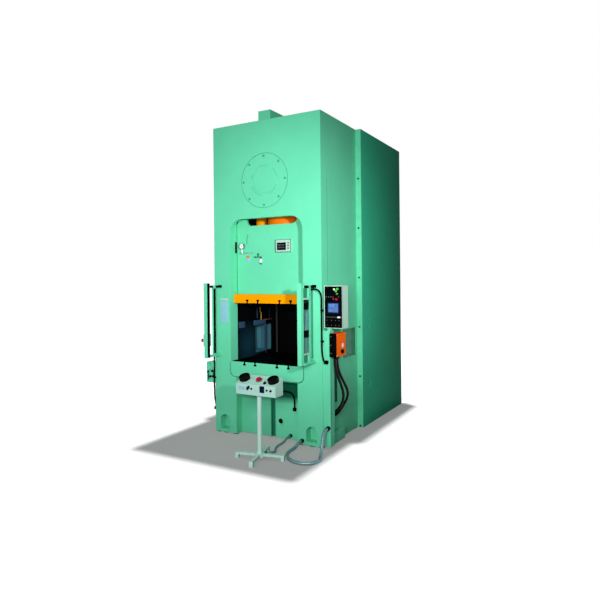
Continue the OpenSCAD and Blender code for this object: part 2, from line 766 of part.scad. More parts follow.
clutch_y1 = fly_y0 - 22;
fin_n = 4;
module clutch() color(iron) difference() {
    union() {
        rod_y(0, pinion_z, clutch_d - 60, clutch_y1 - clutch_w, clutch_y1);
        for (i = [0:fin_n - 1])
            rod_y(0, pinion_z, clutch_d, clutch_y1 - clutch_w + i * clutch_w / fin_n,
                clutch_y1 - clutch_w + (i + 0.5) * clutch_w / fin_n);
    }
    rod_y(0, pinion_z, pinion_shaft_d + 2 * seat_fit, clutch_y1 - clutch_w - cut, clutch_y1 + cut);
}

motor_shaft_d = 60;
motor_bore = 80;
motor_rib_n = 24;
motor_rib_t = 6;
motor_rib_out = 20;
motor_rib_root = 10;
motor_rib_inset = 50;
motor_foot_x0 = 100;
motor_foot_x1 = 170;
motor_foot_inset = 60;
module main_motor() color(motor_blue) difference() {
    union() {
        rod_y(0, motor_z, motor_d - 2 * motor_rib_out, motor_y0, motor_y1);
        for (i = [0:motor_rib_n - 1])
            translate([0, 0, motor_z]) rotate([0, i * 360 / motor_rib_n, 0])
                block([-motor_rib_t / 2, motor_y0 + motor_rib_inset,
                        motor_d / 2 - motor_rib_out - motor_rib_root],
                    [motor_rib_t / 2, motor_y1 - motor_rib_inset, motor_d / 2]);
        for (side = [-1, 1])
            block([side > 0 ? motor_foot_x0 : -motor_foot_x1, motor_y0 + motor_foot_inset, shelf_z],
                [side > 0 ? motor_foot_x1 : -motor_foot_x0, motor_y1 - motor_foot_inset,
                    motor_z - motor_foot_x0]);
    }
    rod_y(0, motor_z, motor_shaft_d + 2 * run_fit, motor_y1 - motor_bore, motor_y1 + cut);
}
module motor_pulley() color(iron) union() {
    grooved_disc(motor_z, pulley_d, fly_y0, fly_y1);
    rod_y(0, motor_z, motor_shaft_d, motor_y1 - motor_bore + gap, fly_y0 + cut);
}

// Outline of a belt round the flywheel and the motor pulley, inset below both rims
function belt_loop(inset) = let (r1 = flywheel_d / 2 - inset, r2 = pulley_d / 2 - inset,
        b = asin((r1 - r2) / (pinion_z - motor_z)))
    concat(arc(0, pinion_z, r1, -b, 180 + b, 48), arc(0, motor_z, r2, 180 + b, 360 - b, 24));
module drive_belts() color(black) for (i = [0:belt_count - 1])
    along_y(belt_y(i) - belt_w / 2, belt_y(i) + belt_w / 2) difference() {
        polygon(belt_loop(gap));
        polygon(belt_loop(belt_h));
    }

// ---- Enclosure ----
ex = fx + enclosure_proud;
ey = ry + enclosure_l;
enclosure_top = frame_top - sheet_t;
hinge_y = ey + sheet_t + 12;
door_hw = door_w / 2;
door_gap = 3;

// Folded side sheet, seen from above
function side_sheet() = [
    [fx - fold_w, ry], [ex, ry], [ex, ey], [ex - fold_w, ey], [ex - fold_w, ey - sheet_t],
    [ex - sheet_t, ey - sheet_t], [ex - sheet_t, ry + sheet_t], [fx - fold_w, ry + sheet_t]];
module enclosure_side() translate([0, 0, enclosure_z0]) linear_extrude(enclosure_top - enclosure_z0)
    polygon(side_sheet());
module enclosure_left() color(green) mirror([1, 0, 0]) enclosure_side();
module enclosure_right() color(green) enclosure_side();
module enclosure_roof() color(green) block([-ex, ry, enclosure_top], [ex, ey, frame_top]);

hinge_zs = [door_z0 + 250, door_z0 + door_h - 250];
knuckle_d = 18;
knuckle_l = 50;
hinge_pin_d = 8;
hinge_x = -door_hw - door_gap - 1;
vent_x0 = 560;
vent_w = 300;
vent_z0 = 2950;
vent_h = 330;
vent_out = 55;
module enclosure_rear() color(green) union() {
    difference() {
        block([-ex, ey, enclosure_z0], [ex, ey + sheet_t, frame_top]);
        block([-door_hw, ey - cut, door_z0], [door_hw, ey + sheet_t + cut, door_z0 + door_h]);
    }
    block([vent_x0, ey + sheet_t, vent_z0], [vent_x0 + vent_w, ey + sheet_t + vent_out, vent_z0 + vent_h]);
    for (z = hinge_zs) {
        rod_z(hinge_x, hinge_y, hinge_pin_d, z - knuckle_l, z + knuckle_l);
        difference() {
            union() {
                rod_z(hinge_x, hinge_y, knuckle_d, z - knuckle_l, z - gap);
                block([hinge_x - 40, ey + sheet_t, z - knuckle_l], [hinge_x, ey + sheet_t + 6, z - gap]);
                block([hinge_x - knuckle_d / 2, ey + sheet_t, z - knuckle_l], [hinge_x, hinge_y, z - gap]);
            }
            rod_z(hinge_x, hinge_y, hinge_pin_d - cut, z - knuckle_l - cut, z);
        }
    }
}

handle_x = door_hw - 60;
handle_z = 1150;
handle_d = 16;
door_y0 = ey + sheet_t + 2 - door_t;
door_y1 = door_y0 + door_t;
module rear_door() color(green) difference() {
    union() {
        block([door_gap - door_hw, door_y0, door_z0 + door_gap],
            [door_hw - door_gap, door_y1, door_z0 + door_h - door_gap]);
        for (z = hinge_zs) {
            rod_z(hinge_x, hinge_y, knuckle_d, z, z + knuckle_l);
            block([hinge_x, hinge_y - 4, z], [hinge_x + 30, hinge_y + 4, z + knuckle_l]);
            block([hinge_x + 12, door_y1 - cut, z], [hinge_x + 30, hinge_y + 4, z + knuckle_l]);
        }
    }
    block([door_gap - door_hw + 3, door_y0 - cut, door_z0 + door_gap + 3],
        [door_hw - door_gap - 3, door_y1 - 3, door_z0 + door_h - door_gap - 3]);
    for (z = hinge_zs)
        rod_z(hinge_x, hinge_y, hinge_pin_d + 2 * run_fit, z - cut, z + knuckle_l + cut);
    rod_y(handle_x, handle_z, handle_d + 2 * run_fit, door_y0, door_y1 + cut);
}
module door_handle() color(black) union() {
    rod_y(handle_x, handle_z, handle_d, door_y1 - 12, door_y1 + 30);
    rod_y(handle_x, handle_z, 44, door_y1 + gap, door_y1 + 12);
    block([handle_x - 11, door_y1 + 18, handle_z - 140], [handle_x + 11, door_y1 + 32, handle_z + 11]);
}

roof_box_x = -185;
roof_box_y = fy + 300;
module roof_box() color(green)
    block([roof_box_x - roof_box_w / 2, roof_box_y, frame_top],
        [roof_box_x + roof_box_w / 2, roof_box_y + roof_box_l, frame_top + roof_box_h]);

guard_bar = 40;
guard_depth = 30;
mullion_n = 2;
module rear_guard() color(black) {
    x1 = rear_open_hw - gap;
    y0 = ry - guard_depth - 10;
    difference() {
        block([-x1, y0, bed_top], [x1, y0 + guard_depth, rear_open_top - gap]);
        for (i = [0:mullion_n]) {
            w = (2 * x1 - guard_bar) / (mullion_n + 1);
            block([-x1 + guard_bar + i * w, y0 - cut, bed_top + guard_bar],
                [-x1 + (i + 1) * w, y0 + guard_depth - pane_t, rear_open_top - gap - guard_bar]);
        }
    }
}

pane_inset = 4;
module feed_guards() color([0.20, 0.42, 0.40, 0.6]) for (side = [-1, 1])
    block([side > 0 ? fx - pane_inset - pane_t : pane_inset - fx, feed_y + gap, feed_z0 + gap],
        [side > 0 ? fx - pane_inset : pane_inset - fx + pane_t, feed_y + feed_len - gap,
            feed_z0 + feed_h - gap]);

// ---- Light guards ----
channel_y0 = fy - channel_out - channel_d;
channel_y1 = fy - channel_out;
channel_hw = channel_w / 2;
channel_x1 = channel_x + channel_hw;
post_x0 = post_x - post_w / 2;
post_x1 = post_x + post_w / 2;
post_y1 = fy - post_out;
post_y0 = post_y1 - post_d;
arm_h = 30;
arm_z1 = channel_z1 - 30;
bar_inset = 2;
bar_zc = (channel_z0 + channel_z1) / 2 - 40;
module light_channels() color(green) for (side = [0, 1]) mirror([side, 0, 0]) {
    difference() {
        block([channel_x - channel_hw, channel_y0, channel_z0],
            [channel_x + channel_hw, channel_y1, channel_z1]);
        block([channel_x - channel_hw - cut, channel_y0 + channel_t, channel_z0 - cut],
            [channel_x + channel_hw - channel_t, channel_y1 - channel_t, channel_z1 + cut]);
    }
}
module light_bars() color([0.45, 0.58, 0.62])
    block([post_x0 + bar_inset, post_y0 - light_bar_d, bar_zc - light_bar_l / 2],
        [post_x1 - bar_inset, post_y0, bar_zc + light_bar_l / 2]);
module guard_frames() color(green) for (side = [0, 1]) mirror([side, 0, 0]) {
    block([post_x0, post_y0, channel_z0], [post_x1, post_y1, arm_z1]);
    block([post_x0, channel_y1, channel_z0], [post_x1, fy, channel_z0 + arm_h]);
    block([post_x0, channel_y1, arm_z1 - arm_h], [post_x1, fy, arm_z1]);
}

stop_box_w = 20;
stop_box_z0 = 1210;
stop_box_h = 160;
stop_z = 1288;
stop_neck = 22;
stop_head = 50;
stop_box_y = channel_y0 + 4;
stop_box_d = 36;
relay_case_w = 38;
relay_case_d = 55;
module side_stop_box() color(pale_green) {
    difference() {
        block([-channel_x1 - stop_box_w, stop_box_y, stop_box_z0],
            [-channel_x1, stop_box_y + stop_box_d, stop_box_z0 + stop_box_h]);
        rod_x(stop_box_y + stop_box_d / 2, stop_z, stop_neck + 2 * run_fit,
            -channel_x1 - stop_box_w - cut, -channel_x1 - 2);
    }
    block([-post_x1, channel_y1, stop_box_z0], [relay_case_w - post_x1, channel_y1 + relay_case_d,
        stop_box_z0 + stop_box_h]);
}
module side_stop_button() color(red) union() {
    x0 = -channel_x1 - stop_box_w;
    rod_x(stop_box_y + stop_box_d / 2, stop_z, stop_neck, x0 - press - cut, x0 + 8);
    rod_x(stop_box_y + stop_box_d / 2, stop_z, stop_head, x0 - press - 24, x0 - press - gap);
}

junction_w = 165;
junction_z0 = 663;
junction_h = 280;
junction_d = 130;
module junction_box() color(green)
    block([-fx - junction_w, fy + 15, junction_z0], [-fx, fy + 15 + junction_d, junction_z0 + junction_h]);

// ---- Control box, duct and isolator ----
duct_wall = 4;
duct_y0 = fy + duct_back;
duct_y1 = duct_y0 + duct_d;
neck_d = 70;
duct_z0 = 30;
trough_w = 55;
trough_l = 398;
trough_z0 = 12;
trough_z1 = 149;
control_x0 = fx + 28;
neck_x = fx + duct_w / 2 + 20;
module duct_post() color(green) union() {
    difference() {
        block([fx, duct_y0, duct_z0], [fx + duct_w, duct_y1, duct_top]);
        block([fx + duct_wall, duct_y0 + duct_wall, duct_z0 - cut],
            [fx + duct_w - duct_wall, duct_y1 - duct_wall, duct_top - duct_wall]);
    }
    block([fx, duct_y1 - cut, trough_z0], [fx + trough_w, duct_y1 + trough_l, trough_z1]);
    rod_z(neck_x, duct_y0 + duct_d / 2, neck_d, duct_top, control_z0);
}

module button_hole(x, z, d) rod_y(x, z, d + 2 * run_fit, fy - cut, fy + 20);
run_x = control_x0 + 190;
run_z = control_z0 + 480;
panel_stop_x = control_x0 + 175;
panel_stop_z = control_z0 + 355;
small_neck = 14;
module control_box() color(pale_green) difference() {
    block([control_x0, fy, control_z0], [control_x0 + control_w, fy + control_d, control_z0 + control_h]);
    button_hole(run_x, run_z, small_neck);
    button_hole(panel_stop_x, panel_stop_z, small_neck);
}
// A push button that faces forward, out by its travel at rest
module front_button(x, z, cap_d) union() {
    rod_y(x, z, small_neck, fy - press - cut - gap, fy + 8);
    rod_y(x, z, cap_d, fy - press - 10, fy - press - gap);
}
module run_button() color([0.1, 0.7, 0.2]) front_button(run_x, run_z, 30);
module panel_stop_button() color(red) front_button(panel_stop_x, panel_stop_z, 30);

isolator_x0 = fx + duct_w;
isolator_x1 = isolator_x0 + isolator_w;
knob_y = fy + 160;
knob_z = isolator_z0 + 55;
knob_d = 46;
module isolator_box() color(signal_orange) difference() {
    block([isolator_x0, fy, isolator_z0], [isolator_x1, fy + isolator_d, isolator_z0 + isolator_h]);
    rod_x(knob_y, knob_z, small_neck + 2 * run_fit, isolator_x1 - 20, isolator_x1 + cut);
}
module isolator_knob() color(black) union() {
    rod_x(knob_y, knob_z, small_neck, isolator_x1 - 15, isolator_x1 + 2);
    rod_x(knob_y, knob_z, knob_d, isolator_x1 + gap, isolator_x1 + 10);
    block([isolator_x1 + 8, knob_y - 6, knob_z - knob_d / 2],
        [isolator_x1 + 26, knob_y + 6, knob_z + knob_d / 2]);
}

// ---- Instruments on the slide ----
indicator_x0 = 80;
indicator_w = 235;
indicator_z0 = 2440;
indicator_h = 170;
indicator_t = 30;
module height_indicator() color(pale_green)
    block([indicator_x0, sf - indicator_t, indicator_z0],
        [indicator_x0 + indicator_w, sf, indicator_z0 + indicator_h]);

gauge_x = -455;
gauge_z = 2540;
gauge_d = 78;
gauge_t = 34;
pipe_z = 2446;
pipe_d = 14;
gauge_face = sf - gauge_t - 16;
needle_pin_d = 4;
module pressure_gauge() color(steel) difference() {
    union() {
        rod_y(gauge_x, gauge_z, gauge_d, gauge_face, gauge_face + gauge_t);
        rod_y(gauge_x, gauge_z, 20, gauge_face + gauge_t - cut, sf);
        rod_z(gauge_x, sf - 33, pipe_d, pipe_z, gauge_z - gauge_d / 2 + 5);
        rod_x(sf - pipe_d / 2, pipe_z, pipe_d, gauge_x - 60, gauge_x + 160);
        block([gauge_x - 12, sf - 33, pipe_z - 12], [gauge_x + 12, sf, pipe_z + 12]);
    }
    rod_y(gauge_x, gauge_z, gauge_d - 8, gauge_face - cut, gauge_face + 8);
    rod_y(gauge_x, gauge_z, needle_pin_d + 2 * run_fit, gauge_face, gauge_face + 20);
}
module gauge_needle() color(black) union() {
    rod_y(gauge_x, gauge_z, needle_pin_d, gauge_face + 3, gauge_face + 18);
    along_y(gauge_face + 3, gauge_face + 5) translate([gauge_x, gauge_z])
        polygon([[-3, -3], [3, -3], [-19, 22]]);
}

// ---- Pedestal ----
ped_x = pedestal_x;
ped_y = fy - pedestal_out;
console_y0 = ped_y - console_d / 2;
console_y1 = ped_y + console_d / 2;
slope = atan(console_rise / console_d);
star_w = 46;
star_h = 26;
star_foot = 14;
star_turn = 14;
collar_r = stand_d / 2 + 30;
module pedestal_stand() color(pale_green) union() {
    rod_z(ped_x, ped_y, stand_d, star_h, console_z0);
    rod_z(ped_x, ped_y, 2 * collar_r, 30, 70);
    for (i = [0:3])
        translate([ped_x, ped_y, 0]) rotate([0, 0, 90 * i + star_turn]) {
            block([0, -star_w / 2, star_foot + star_h], [star_l, star_w / 2, star_foot + 2 * star_h]);
            block([star_l - 40, -star_w / 2, 0], [star_l, star_w / 2, star_foot + star_h + cut]);
        }
}

// Places a child on the console's sloping top, u across and v up the slope from its middle
module on_console(u, v) translate([ped_x + u, ped_y, console_z0 + console_h + console_rise / 2])
    rotate([slope, 0, 0]) translate([0, v, 0]) children();
palm_u = 200;
palm_neck = 30;
palm_ring_h = 42;
selector_u = 105;
selector_v = -45;
console_stop_v = 0;
module console_box() color(pale_green) difference() {
    union() {
        along_x(ped_x - console_w / 2, ped_x + console_w / 2) polygon([[console_y0, console_z0],
            [console_y1, console_z0], [console_y1, console_z0 + console_h + console_rise],
            [console_y0, console_z0 + console_h]]);
        for (side = [-1, 1])
            on_console(side * palm_u, 0) difference() {
                cylinder(d = palm_ring_d, h = palm_ring_h);
                translate([0, 0, -cut]) cylinder(d = palm_ring_d - 10, h = palm_ring_h + 2 * cut);
            }
    }
    for (side = [-1, 1])
        on_console(side * palm_u, 0) translate([0, 0, -30]) cylinder(d = palm_neck + 2 * run_fit, h = 60);
    on_console(0, console_stop_v) translate([0, 0, -25]) cylinder(d = stop_neck + 2 * run_fit, h = 50);
    on_console(selector_u, selector_v) translate([0, 0, -25]) cylinder(d = small_neck + 2 * run_fit, h = 50);
}
module palm_button(side) color(black) on_console(side * palm_u, 0) {
    translate([0, 0, -20]) cylinder(d = palm_neck, h = 20 + press + cut);
    translate([0, 0, press + gap]) cylinder(d = palm_d, h = 24);
}
module palm_button_left() palm_button(-1);
module palm_button_right() palm_button(1);
module console_stop_button() color(red) on_console(0, console_stop_v) {
    translate([0, 0, -15]) cylinder(d = stop_neck, h = 15 + press + cut);
    translate([0, 0, press + gap]) cylinder(d = stop_d, h = 20);
}
module console_selector() color(black) on_console(selector_u, selector_v) {
    translate([0, 0, -12]) cylinder(d = small_neck, h = 16);
    translate([0, 0, gap]) cylinder(d = 30, h = 10);
    translate([-4, -15, gap]) cube([8, 30, 22]);
}

// ---- Cords ----
function unit(v) = v / norm(v);
function tangent(p, i) = unit(p[min(i + 1, len(p) - 1)] - p[max(i - 1, 0)]);
// Sideways directions along a path, each turned as little as possible from the last
function sides(p, u, i = 0, done = []) = i == len(p) ? done :
    let (t = tangent(p, i), s = unit(u - (u * t) * t)) sides(p, s, i + 1, concat(done, [s]));
module tube(p, d, first, n = 10) {
    s = sides(p, first);
    points = [for (i = [0:len(p) - 1], k = [0:n - 1])
        p[i] + d / 2 * (cos(k * 360 / n) * s[i] + sin(k * 360 / n) * cross(tangent(p, i), s[i]))];
    walls = [for (i = [0:len(p) - 2], k = [0:n - 1], h = [0, 1]) h == 0
        ? [i * n + k, (i + 1) * n + k, i * n + (k + 1) % n]
        : [i * n + (k + 1) % n, (i + 1) * n + k, (i + 1) * n + (k + 1) % n]];
    low = [[for (k = [0:n - 1]) k]];
    high = [[for (k = [0:n - 1]) len(p) * n - 1 - k]];
    polyhedron(points, concat(low, walls, high));
}

conduit_d = 40;
thin_conduit_d = 30;
cable_d = 22;
hose_d = 34;
gland_d = 54;
hose_gland_d = 44;

// Routes of the cords, from exit to end
long_route = [
    [900, -575, 258], [900, -600, 258], [912, -668, 243], [922, -723, 201], [930, -755, 140], [939, -786, 79],
    [957, -841, 37], [980, -905, 22], [1010, -960, 22], [1014, -1035, 22], [978, -1112, 22], [908, -1161, 22],
    [838, -1170, 22], [760, -1155, 22], [690, -1115, 22], [630, -1060, 22], [585, -990, 22], [555, -910, 22],
    [542, -820, 22], [538, -735, 22], [538, -685, 36], [538, -640, 53], [538, -603, 60], [538, -575, 60]];
short_route = [
    [300, -445, 60], [300, -472, 60], [300, -512, 53], [299, -552, 38], [298, -592, 24], [297, -635, 17],
    [298, -690, 17], [305, -750, 17], [318, -800, 17], [336, -842, 17], [357, -880, 17], [378, -915, 19],
    [396, -950, 23], [409, -985, 29], [416, -1018, 36], [418, -1050, 43], [414, -1080, 48], [405, -1105, 50],
    [390, -1130, 50]];
hose_front_route = [
    [975, -475, 1105], [975, -475, 1060], [978, -472, 1010], [987, -464, 950], [1002, -452, 885],
    [1020, -438, 820], [1036, -422, 755], [1045, -409, 705], [1046, -397, 655], [1037, -386, 606],
    [1019, -377, 558], [994, -370, 512], [964, -364, 472], [931, -360, 440], [896, -358, 417],
    [866, -358, 408], [850, -358, 408]];
hose_rear_route = [
    [975, -415, 1105], [975, -415, 1060], [980, -411, 1005], [994, -403, 940], [1017, -392, 875],
    [1045, -379, 810], [1069, -367, 755], [1083, -357, 705], [1082, -348, 655], [1068, -340, 608],
    [1045, -333, 564], [1018, -327, 522], [989, -322, 480], [959, -318, 440], [928, -314, 406],
    [895, -311, 378], [867, -311, 366], [850, -311, 366]];

// Routes of the cables clipped to the frame, their Y counted from the front face
right_cable = [
    [730, -123, 1958], [730, -108, 1958], [736, -92, 1961], [752, -74, 1965], [775, -57, 1963],
    [798, -42, 1952], [816, -30, 1930], [827, -20, 1895], [832, -14, 1850], [832, -14, 1300],
    [833, -14, 1210], [838, -14, 1150], [850, -14, 1100], [868, -14, 1068]];
left_cable = [
    [-730, -148, 1055], [-730, -148, 1035], [-734, -144, 1010], [-744, -131, 982], [-758, -112, 956],
    [-775, -89, 932], [-793, -65, 911], [-811, -42, 889], [-826, -25, 864], [-836, -16, 836],
    [-840, -14, 800], [-840, -14, 680], [-842, -10, 640], [-847, 0, 605], [-856, 14, 565],
    [-866, 25, 525], [-870, 31, 484], [-868, 34, 440], [-862, 36, 400], [-854, 36, 365], [-850, 36, 332]];
bed_cable_y = leg_recess - 14;
bed_cable = [
    [150, bed_cable_y, 627], [200, bed_cable_y, 627], [250, bed_cable_y, 626], [295, bed_cable_y, 623],
    [325, bed_cable_y, 612], [346, bed_cable_y, 590], [359, bed_cable_y, 560], [366, bed_cable_y, 525],
    [368, bed_cable_y, 480], [368, bed_cable_y, 430]];
function from_front(route) = [for (p = route) [p.x, fy + p.y, p.z]];

module conduit_long() color(hose_grey) tube(long_route, conduit_d, [1, 0, 0]);
module conduit_short() color(hose_grey) tube(short_route, thin_conduit_d, [1, 0, 0]);
module hose_front() color(black) tube(hose_front_route, hose_d, [0, 1, 0]);
module hose_rear() color(black) tube(hose_rear_route, hose_d, [0, 1, 0]);

clip_t = 5;
clip_hh = 12;
cable_end = 20;
cable_end_d = 30;
// Clips that hold a cable to the front face at the heights zs
module cable_clips(x, zs) for (z = zs)
    block([x - cable_d, fy - clip_t, z - clip_hh], [x + cable_d, fy, z + clip_hh]);
// The socket round the end of a cable, a square block that reaches back to the face at y1
module cable_socket(x, z, y1) block([x - cable_end, y1 - cable_end_d, z - cable_end],
    [x + cable_end, y1, z + cable_end]);
module cable_runs() color(black) {
    for (route = [right_cable, left_cable, bed_cable])
        tube(from_front(route), cable_d, [1, 1, 0], 8);
    right_end = right_cable[len(right_cable) - 1];
    left_end = from_front(left_cable)[len(left_cable) - 1];
    bed_end = bed_cable[len(bed_cable) - 1];
    block([right_end.x, fy - cable_end_d, right_end.z - cable_end],
        [right_end.x + 2 * cable_end, duct_y0, right_end.z + cable_end]);
    block([-fx - 2 * cable_end, left_end.y - cable_end, left_end.z - 2 * cable_end],
        [-fx, left_end.y + cable_end, left_end.z]);
    cable_socket(bed_cable[0].x - cable_end, bed_cable[0].z, fy + leg_recess);
    cable_socket(bed_end.x, bed_end.z - cable_end, fy + leg_recess);
    cable_clips(right_cable[8].x, [1320, 1700]);
    cable_clips(left_cable[10].x, [740]);
}

module conduit_glands() color(black) {
    end_a = long_route[0];
    end_b = long_route[len(long_route) - 1];
    end_c = short_route[0];
    end_d = short_route[len(short_route) - 1];
    rod_y(end_a.x, end_a.z, gland_d, end_a.y, duct_y0);
    rod_y(end_b.x, end_b.z, gland_d - 4, end_b.y, fy);
    rod_y(end_c.x, end_c.z, gland_d - 10, end_c.y, fy + leg_recess);
    reach = norm([end_d.x - ped_x, end_d.y - ped_y]);
    translate([ped_x, ped_y, end_d.z]) rotate([0, 0, atan2(end_d.y - ped_y, end_d.x - ped_x)])
        rod_x(0, 0, gland_d - 14, collar_r + gap, reach);
    for (route = [hose_front_route, hose_rear_route]) {
        rod_z(route[0].x, route[0].y, hose_gland_d, route[0].z, isolator_z0);
        tip = route[len(route) - 1];
        rod_x(tip.y, tip.z, hose_gland_d, fx, tip.x);
    }
}

frame();
levelling_pads();
crown_cover();
panel_bolts();
bolster();
slide_body();
slide_plate();
gibs();
plunger();
plunger_guide();
connecting_rod();
adjusting_screw();
crankshaft();
crank_bearings();
main_gear();
pinion_shaft();
drive_bracket();
flywheel();
clutch();
main_motor();
motor_pulley();
drive_belts();
balance_cylinders();
balance_rods();
enclosure_left();
enclosure_right();
enclosure_rear();
enclosure_roof();
rear_door();
door_handle();
roof_box();
rear_guard();
feed_guards();
light_channels();
light_bars();
guard_frames();
side_stop_box();
side_stop_button();
junction_box();
duct_post();
control_box();
run_button();
panel_stop_button();
isolator_box();
isolator_knob();
height_indicator();
pressure_gauge();
gauge_needle();
pedestal_stand();
console_box();
palm_button_left();
palm_button_right();
console_stop_button();
console_selector();
conduit_glands();
cable_runs();
hose_front();
hose_rear();
conduit_long();
conduit_short();
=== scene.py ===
"""Looks of a straight-side stamping press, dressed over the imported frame. Metres, +Z up, -Y is the front."""
import math

import bmesh
import bpy
from mathutils import Matrix, Vector


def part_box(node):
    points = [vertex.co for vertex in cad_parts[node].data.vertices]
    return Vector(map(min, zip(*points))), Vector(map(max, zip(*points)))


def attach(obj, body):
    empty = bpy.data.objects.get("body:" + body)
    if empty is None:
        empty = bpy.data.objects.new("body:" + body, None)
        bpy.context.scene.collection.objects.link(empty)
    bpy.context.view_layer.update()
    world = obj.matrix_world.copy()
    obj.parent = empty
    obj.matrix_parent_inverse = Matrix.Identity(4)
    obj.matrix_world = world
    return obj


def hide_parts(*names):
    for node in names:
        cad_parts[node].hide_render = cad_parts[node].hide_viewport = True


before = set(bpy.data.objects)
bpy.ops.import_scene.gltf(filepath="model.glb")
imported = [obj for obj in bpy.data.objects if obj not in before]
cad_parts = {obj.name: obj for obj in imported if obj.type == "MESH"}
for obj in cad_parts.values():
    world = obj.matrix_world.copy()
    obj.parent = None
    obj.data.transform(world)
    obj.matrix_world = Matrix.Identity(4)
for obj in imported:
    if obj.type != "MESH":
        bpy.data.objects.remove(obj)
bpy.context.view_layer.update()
scene = bpy.context.scene

UP = (0, 0, 1)
RIGHT = (1, 0, 0)
FORWARD = (0, -1, 0)
REARWARD = (0, 1, 0)

# Colours


def srgb(red, green, blue):
    """An 8-bit screen colour as a linear one."""
    def linear(v):
        v /= 255
        return v / 12.92 if v <= 0.04045 else ((v + 0.055) / 1.055) ** 2.4
    return (linear(red), linear(green), linear(blue), 1.0)


WHITE = (1, 1, 1, 1)
GREEN = srgb(104, 216, 172)
# A darker copy of the frame's green, as painted shade on the enclosure's sheet
SHADED_SHEET_GREEN = srgb(58, 194, 150)
SHADED_GREEN = srgb(16, 92, 68)
LINE_GREEN = srgb(30, 92, 70)
ORANGE = srgb(252, 158, 0)
BLACK = srgb(4, 4, 5)
# Near black for oiled steel, and for painted shade where little light reaches
OIL_AND_SHADE_BLACK = srgb(4, 5, 6)

# Node helpers

# The sockets that a Mix node uses for colours
MIX_FACTOR, MIX_A, MIX_B, MIX_RESULT = 0, 6, 7, 2
NOISE_ROUGHNESS = 0.55


def add_node(tree, kind, inputs=(), **settings):
    """A new node with its settings, and each named input linked to a socket or set to a value."""
    made = tree.nodes.new(kind)
    for key, value in settings.items():
        setattr(made, key, value)
    for socket, value in dict(inputs).items():
        if isinstance(value, bpy.types.NodeSocket):
            tree.links.new(value, made.inputs[socket])
        else:
            made.inputs[socket].default_value = value
    return made


def calculate(tree, operation, *values):
    """The result of a Math node."""
    return add_node(tree, "ShaderNodeMath", dict(enumerate(values)), operation=operation).outputs[0]


class Shader:
    """A Principled material with short calls for the nodes that feed it."""

    def __init__(self, colour, rough, metal=0.0, coat=0.0):
        self.material = bpy.data.materials.new("finish")
        self.material.use_nodes = True
        self.material.diffuse_color = colour
        self.tree = self.material.node_tree
        self.bsdf = self.tree.nodes["Principled BSDF"]
        for socket, value in (("Base Color", colour), ("Roughness", rough), ("Metallic", metal),
                ("Coat Weight", coat), ("Coat Roughness", 0.25)):
            self.fix(socket, value)
        self.place = self.node("ShaderNodeTexCoord").outputs["Object"]

    def node(self, kind, inputs=(), **settings):
        return add_node(self.tree, kind, inputs, **settings)

    def fix(self, socket, value):
        """Sets one of the shader's own sockets to a value that is the same all over."""
        self.bsdf.inputs[socket].default_value = value

    def feed(self, socket, value):
        """Links a value that varies over the surface to one of the shader's sockets."""
        self.tree.links.new(value, self.bsdf.inputs[socket])

    def noise(self, scale, detail=3.0, stretch=(1, 1, 1)):
        """Noise in the row frame, finer along an axis whose stretch is above 1."""
        scaled = self.node("ShaderNodeMapping", {"Vector": self.place, "Scale": stretch})
        return self.node("ShaderNodeTexNoise", {
            "Vector": scaled.outputs[0], "Scale": scale, "Detail": detail, "Roughness": NOISE_ROUGHNESS
        }).outputs["Fac"]

    def ramp(self, value, low, high, low_at=0.0, high_at=1.0):
        """Maps a value between two places to numbers from low to high."""
        return self.node("ShaderNodeMapRange", {
            "Value": value, "From Min": low_at, "From Max": high_at, "To Min": low, "To Max": high
        }).outputs[0]

    def blend(self, fac, a, b):
        """A colour between a and b."""
        mix = self.node("ShaderNodeMix", {MIX_FACTOR: fac, MIX_A: a, MIX_B: b}, data_type="RGBA")
        return mix.outputs[MIX_RESULT]

    def along(self, axis):
        """The place along an axis of the row frame."""
        return self.node("ShaderNodeSeparateXYZ", {"Vector": self.place}).outputs[axis]

    def both(self, a, b):
        """The product of two masks or fades."""
        return calculate(self.tree, "MULTIPLY", a, b)

    def within(self, **spans):
        """1 inside a box in the row frame, given by its ends along x, y or z."""
        total = None
        for axis, (low, high) in spans.items():
            place = self.along(axis.upper())
            near = calculate(self.tree, "COMPARE", place, (low + high) / 2, (high - low) / 2)
            total = near if total is None else self.both(total, near)
        return total

    def either(self, *masks):
        """1 where any of the masks is 1."""
        total = masks[0]
        for mask in masks[1:]:
            total = calculate(self.tree, "MAXIMUM", total, mask)
        return total

    def bump(self, value, strength, distance, edge=0.0):
        """Bump from a height, over edges rounded by a small bevel where edge is above zero."""
        made = self.node("ShaderNodeBump", {"Height": value, "Strength": strength, "Distance": distance})
        if edge:
            rounded = self.node("ShaderNodeBevel", {"Radius": edge}, samples=4)
            self.tree.links.new(rounded.outputs[0], made.inputs["Normal"])
        self.feed("Normal", made.outputs[0])


def shade(colour, factor):
    return (colour[0] * factor, colour[1] * factor, colour[2] * factor, 1.0)


# Finishes

PAINT_GLOSS = 0.0
COAT_GLOSS = 0.04
PLASTIC_GLOSS = 0.015
DUST, DUST_HEIGHT = 0.22, 0.5
# How dark the paint turns towards the rear, as painted shade
REAR_SHADE_FACTOR = 0.5
PANE_IOR = 1.08


